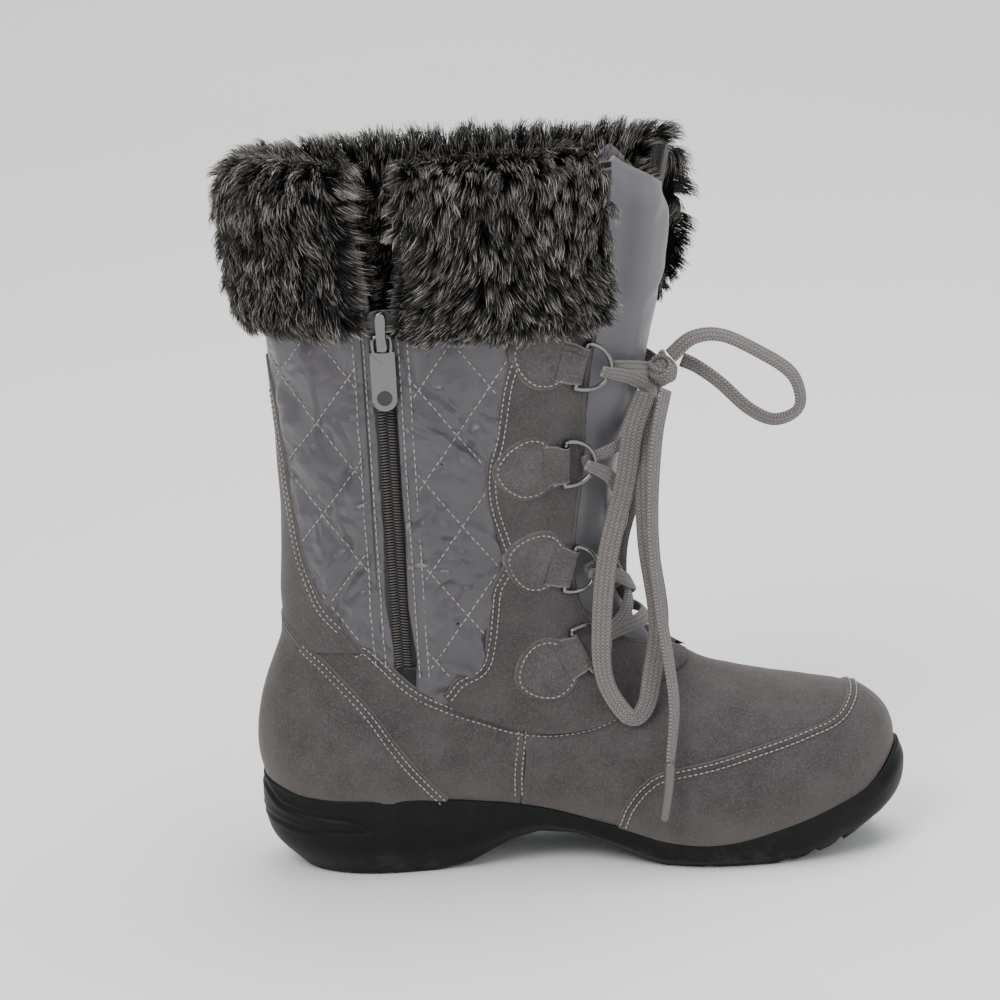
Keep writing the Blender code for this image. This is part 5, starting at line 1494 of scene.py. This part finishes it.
PILE_LENGTH, TUFT_WIDTH = 10.0, 4.6
FROSTED_SHARE = 0.58
FIBRE_HALF_WIDTHS = np.array([0.12, 0.15, 0.11, 0.015])  # at four points from root to tip


def grow_flap(name, first, last, fibres, last_full, swell, rounded, drop, replaced, seed):
    """Flap of the cuff from u first, an open end, to u last: its knitted back, and that many fibres as
    tapered strips of three quads. last_full below 1 says that the last end is open too. rounded says how far
    the corners of the first and last end draw back over the fold."""
    random = np.random.default_rng(seed)
    both_open = last_full < 1
    run, fold = np.meshgrid(np.linspace(0, 1, 90), np.linspace(0, 1, 46))
    ring = fur_base(np.linspace(first, last, 90), np.ones(90), 1.0, drop)
    per_mm = (last - first) / np.linalg.norm(np.diff(ring, axis=0), axis=1).sum()

    def place_round(x, y):
        """Place round the shaft: both ends draw back over the fold, so the flap's corners are rounded."""
        back = rounded[0] * (1 - x) ** 5 - rounded[1] * x**5
        return first + (last - first) * x + per_mm * back * np.sin(math.pi * np.clip(y, 0, 1))

    sheet = fur_base(place_round(run, fold), fold, flap_fullness(run, last_full, swell), drop)
    if last > first:
        sheet = sheet[:, ::-1]
    piece = show(f"{name}_knit", quad_mesh(f"{name}_knit", sheet * MM), pile_back)
    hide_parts(replaced)
    # Fibres: random roots, one pull towards the tip of the tuft that each belongs to.
    length_mm = np.linalg.norm(np.diff(sheet[20], axis=0), axis=1).sum()
    fold_mm = np.linalg.norm(np.diff(sheet[:, 45], axis=0), axis=1).sum()
    a, b = random.uniform(0, 1, (2, fibres))
    a[: fibres // 9] *= 0.035  # the ends are thick with pile, which hides the knit
    step = 1e-3

    def base(x, y):
        """Point of the knitted back at shares x along the flap and y over the fold."""
        return fur_base(place_round(x, y), y, flap_fullness(x, last_full, swell), drop)

    def frame_at(x, y):
        """Root of a fibre, and unit directions along the flap, over the fold and out."""
        root = base(x, y)
        x_low, y_low = np.clip(x - step, 0, 1), np.clip(y - step, 0, 1)
        along_u = base(np.clip(x + step, 0, 1), y) - base(x_low, y)
        along_fold = base(x, np.clip(y + step, 0, 1)) - base(x, y_low)
        along_u /= np.linalg.norm(along_u, axis=1, keepdims=True)
        along_fold /= np.linalg.norm(along_fold, axis=1, keepdims=True)
        normal = np.cross(along_fold, along_u) * np.sign(last - first)
        return root, along_u, along_fold, normal / np.linalg.norm(normal, axis=1, keepdims=True)

    cell_a, cell_b = np.floor(a * length_mm / TUFT_WIDTH), np.floor(b * fold_mm / TUFT_WIDTH)
    cell = (cell_a * 97 + cell_b).astype(int)
    cell_random = np.random.default_rng(seed + 1).uniform(-1, 1, (cell.max() + 1, 5))[cell]
    tuft_a = np.clip((cell_a + 0.5 + 0.35 * cell_random[:, 0]) * TUFT_WIDTH / length_mm, 0, 1)
    tuft_b = np.clip((cell_b + 0.5 + 0.35 * cell_random[:, 1]) * TUFT_WIDTH / fold_mm, 0, 1)

    def lie(x, y, loose):
        """Root, normal and the way that the pile lies: down over the fold, swaying and fanning out."""
        root, along_u, along_fold, normal = frame_at(x, y)
        sway = 0.55 * np.sin(root[:, 0] / 11.0 + seed) + 0.45 * np.sin(root[:, 2] / 9.0 + root[:, 0] / 17.0)
        fan = (2 * x - 1) * soft_step((y - 0.5) / 0.3) if both_open else -0.2 * soft_step((0.3 - x) / 0.3)
        fan = fan - 0.9 * soft_step((0.05 - x) / 0.05)
        at_end = (x < 0.04)[:, None]  # here the pile spreads all round the end of the flap
        lean = along_fold * np.where(at_end, 0.45, 0.95 + 0.2 * loose[:, 2:3])
        lean = lean + normal * np.where(at_end, 0.9 * loose[:, 3:4], 0.55 + 0.22 * loose[:, 3:4])
        lean = lean + along_u * (fan + 0.35 * sway + 0.4 * loose[:, 4])[:, None]
        return root, normal, lean / np.linalg.norm(lean, axis=1, keepdims=True)

    own = random.uniform(-1, 1, (fibres, 5))
    root, normal, lean = lie(a, b, cell_random * 1.1 + own * 0.55)
    tuft_root, _, tuft_lean = lie(tuft_a, tuft_b, cell_random)
    reach = PILE_LENGTH + 3.0 * own[:, 0:1] + 1.8 * cell_random[:, 0:1]
    reach = reach * (0.62 + 0.38 * np.sin(math.pi * np.clip(b, 0.05, 0.95)))[:, None]
    tip = root + lean * reach
    tip = tip + (tuft_root + tuft_lean * reach - tip) * (0.25 + 0.2 * own[:, 1:2])
    share = np.array([0.0, 0.35, 0.7, 1.0])[:, None, None]
    lifted = normal * reach * 0.34
    path = root + (tip - root) * share + lifted * (4 * share * (1 - share)) * 0.8
    side = np.cross(tip - root, random.normal(size=(fibres, 3)))
    side /= np.linalg.norm(side, axis=1, keepdims=True)
    half = FIBRE_HALF_WIDTHS[:, None, None] * (1 + 0.35 * own[:, 2:3])
    strip = np.stack([path - side * half, path + side * half], axis=2).transpose(1, 0, 2, 3)
    index = np.arange(fibres * 8).reshape(fibres, 4, 2)
    quads = np.stack(
        [index[:, :-1, 0], index[:, :-1, 1], index[:, 1:, 1], index[:, 1:, 0]], axis=-1
    ).reshape(-1, 4)
    frosted = np.where(random.uniform(0, 1, fibres) < FROSTED_SHARE, random.uniform(0.25, 1.0, fibres), 0.05)
    frosted = frosted * (0.8 + 0.35 * cell_random[:, 0])
    flow = np.zeros(strip.shape)
    flow[..., 0] = share[:, :, 0]
    flow[..., 1] = frosted[:, None, None]
    piece = show(
        f"{name}_pile", faces_mesh(f"{name}_pile", strip.reshape(-1, 3) * MM, quads), fur,
        flow=flow.reshape(-1, 3)
    )


flap_first = float(place_of(27.5, 270.0, -1)[0])
flap_last = float(u_at_half_width(30.5, TOP_LEVEL, -1))
grow_flap(
    "cuff_front_flap", flap_first, flap_last, fibres=33000, last_full=0.5, swell=0.0, rounded=(4.0, 7.0),
    drop=6.0, replaced="cuff_front", seed=51
)
wrap_first = float(place_of(11.0, 270.0, -1)[0])
wrap_last = float(u_at_half_width(13.0, TOP_LEVEL, 1)) - 2.0
wrap_middle = (wrap_first + wrap_last) / 2
grow_flap(
    "cuff_rear_flap", wrap_first, wrap_middle, fibres=33000, last_full=1.0, swell=0.0, rounded=(4.5, 0.0),
    drop=3.0, replaced="cuff_back", seed=61
)
grow_flap(
    "cuff_outer_flap", wrap_last, wrap_middle, fibres=31000, last_full=1.0, swell=0.55, rounded=(8.0, 0.0),
    drop=3.0, replaced="cuff_back", seed=71
)
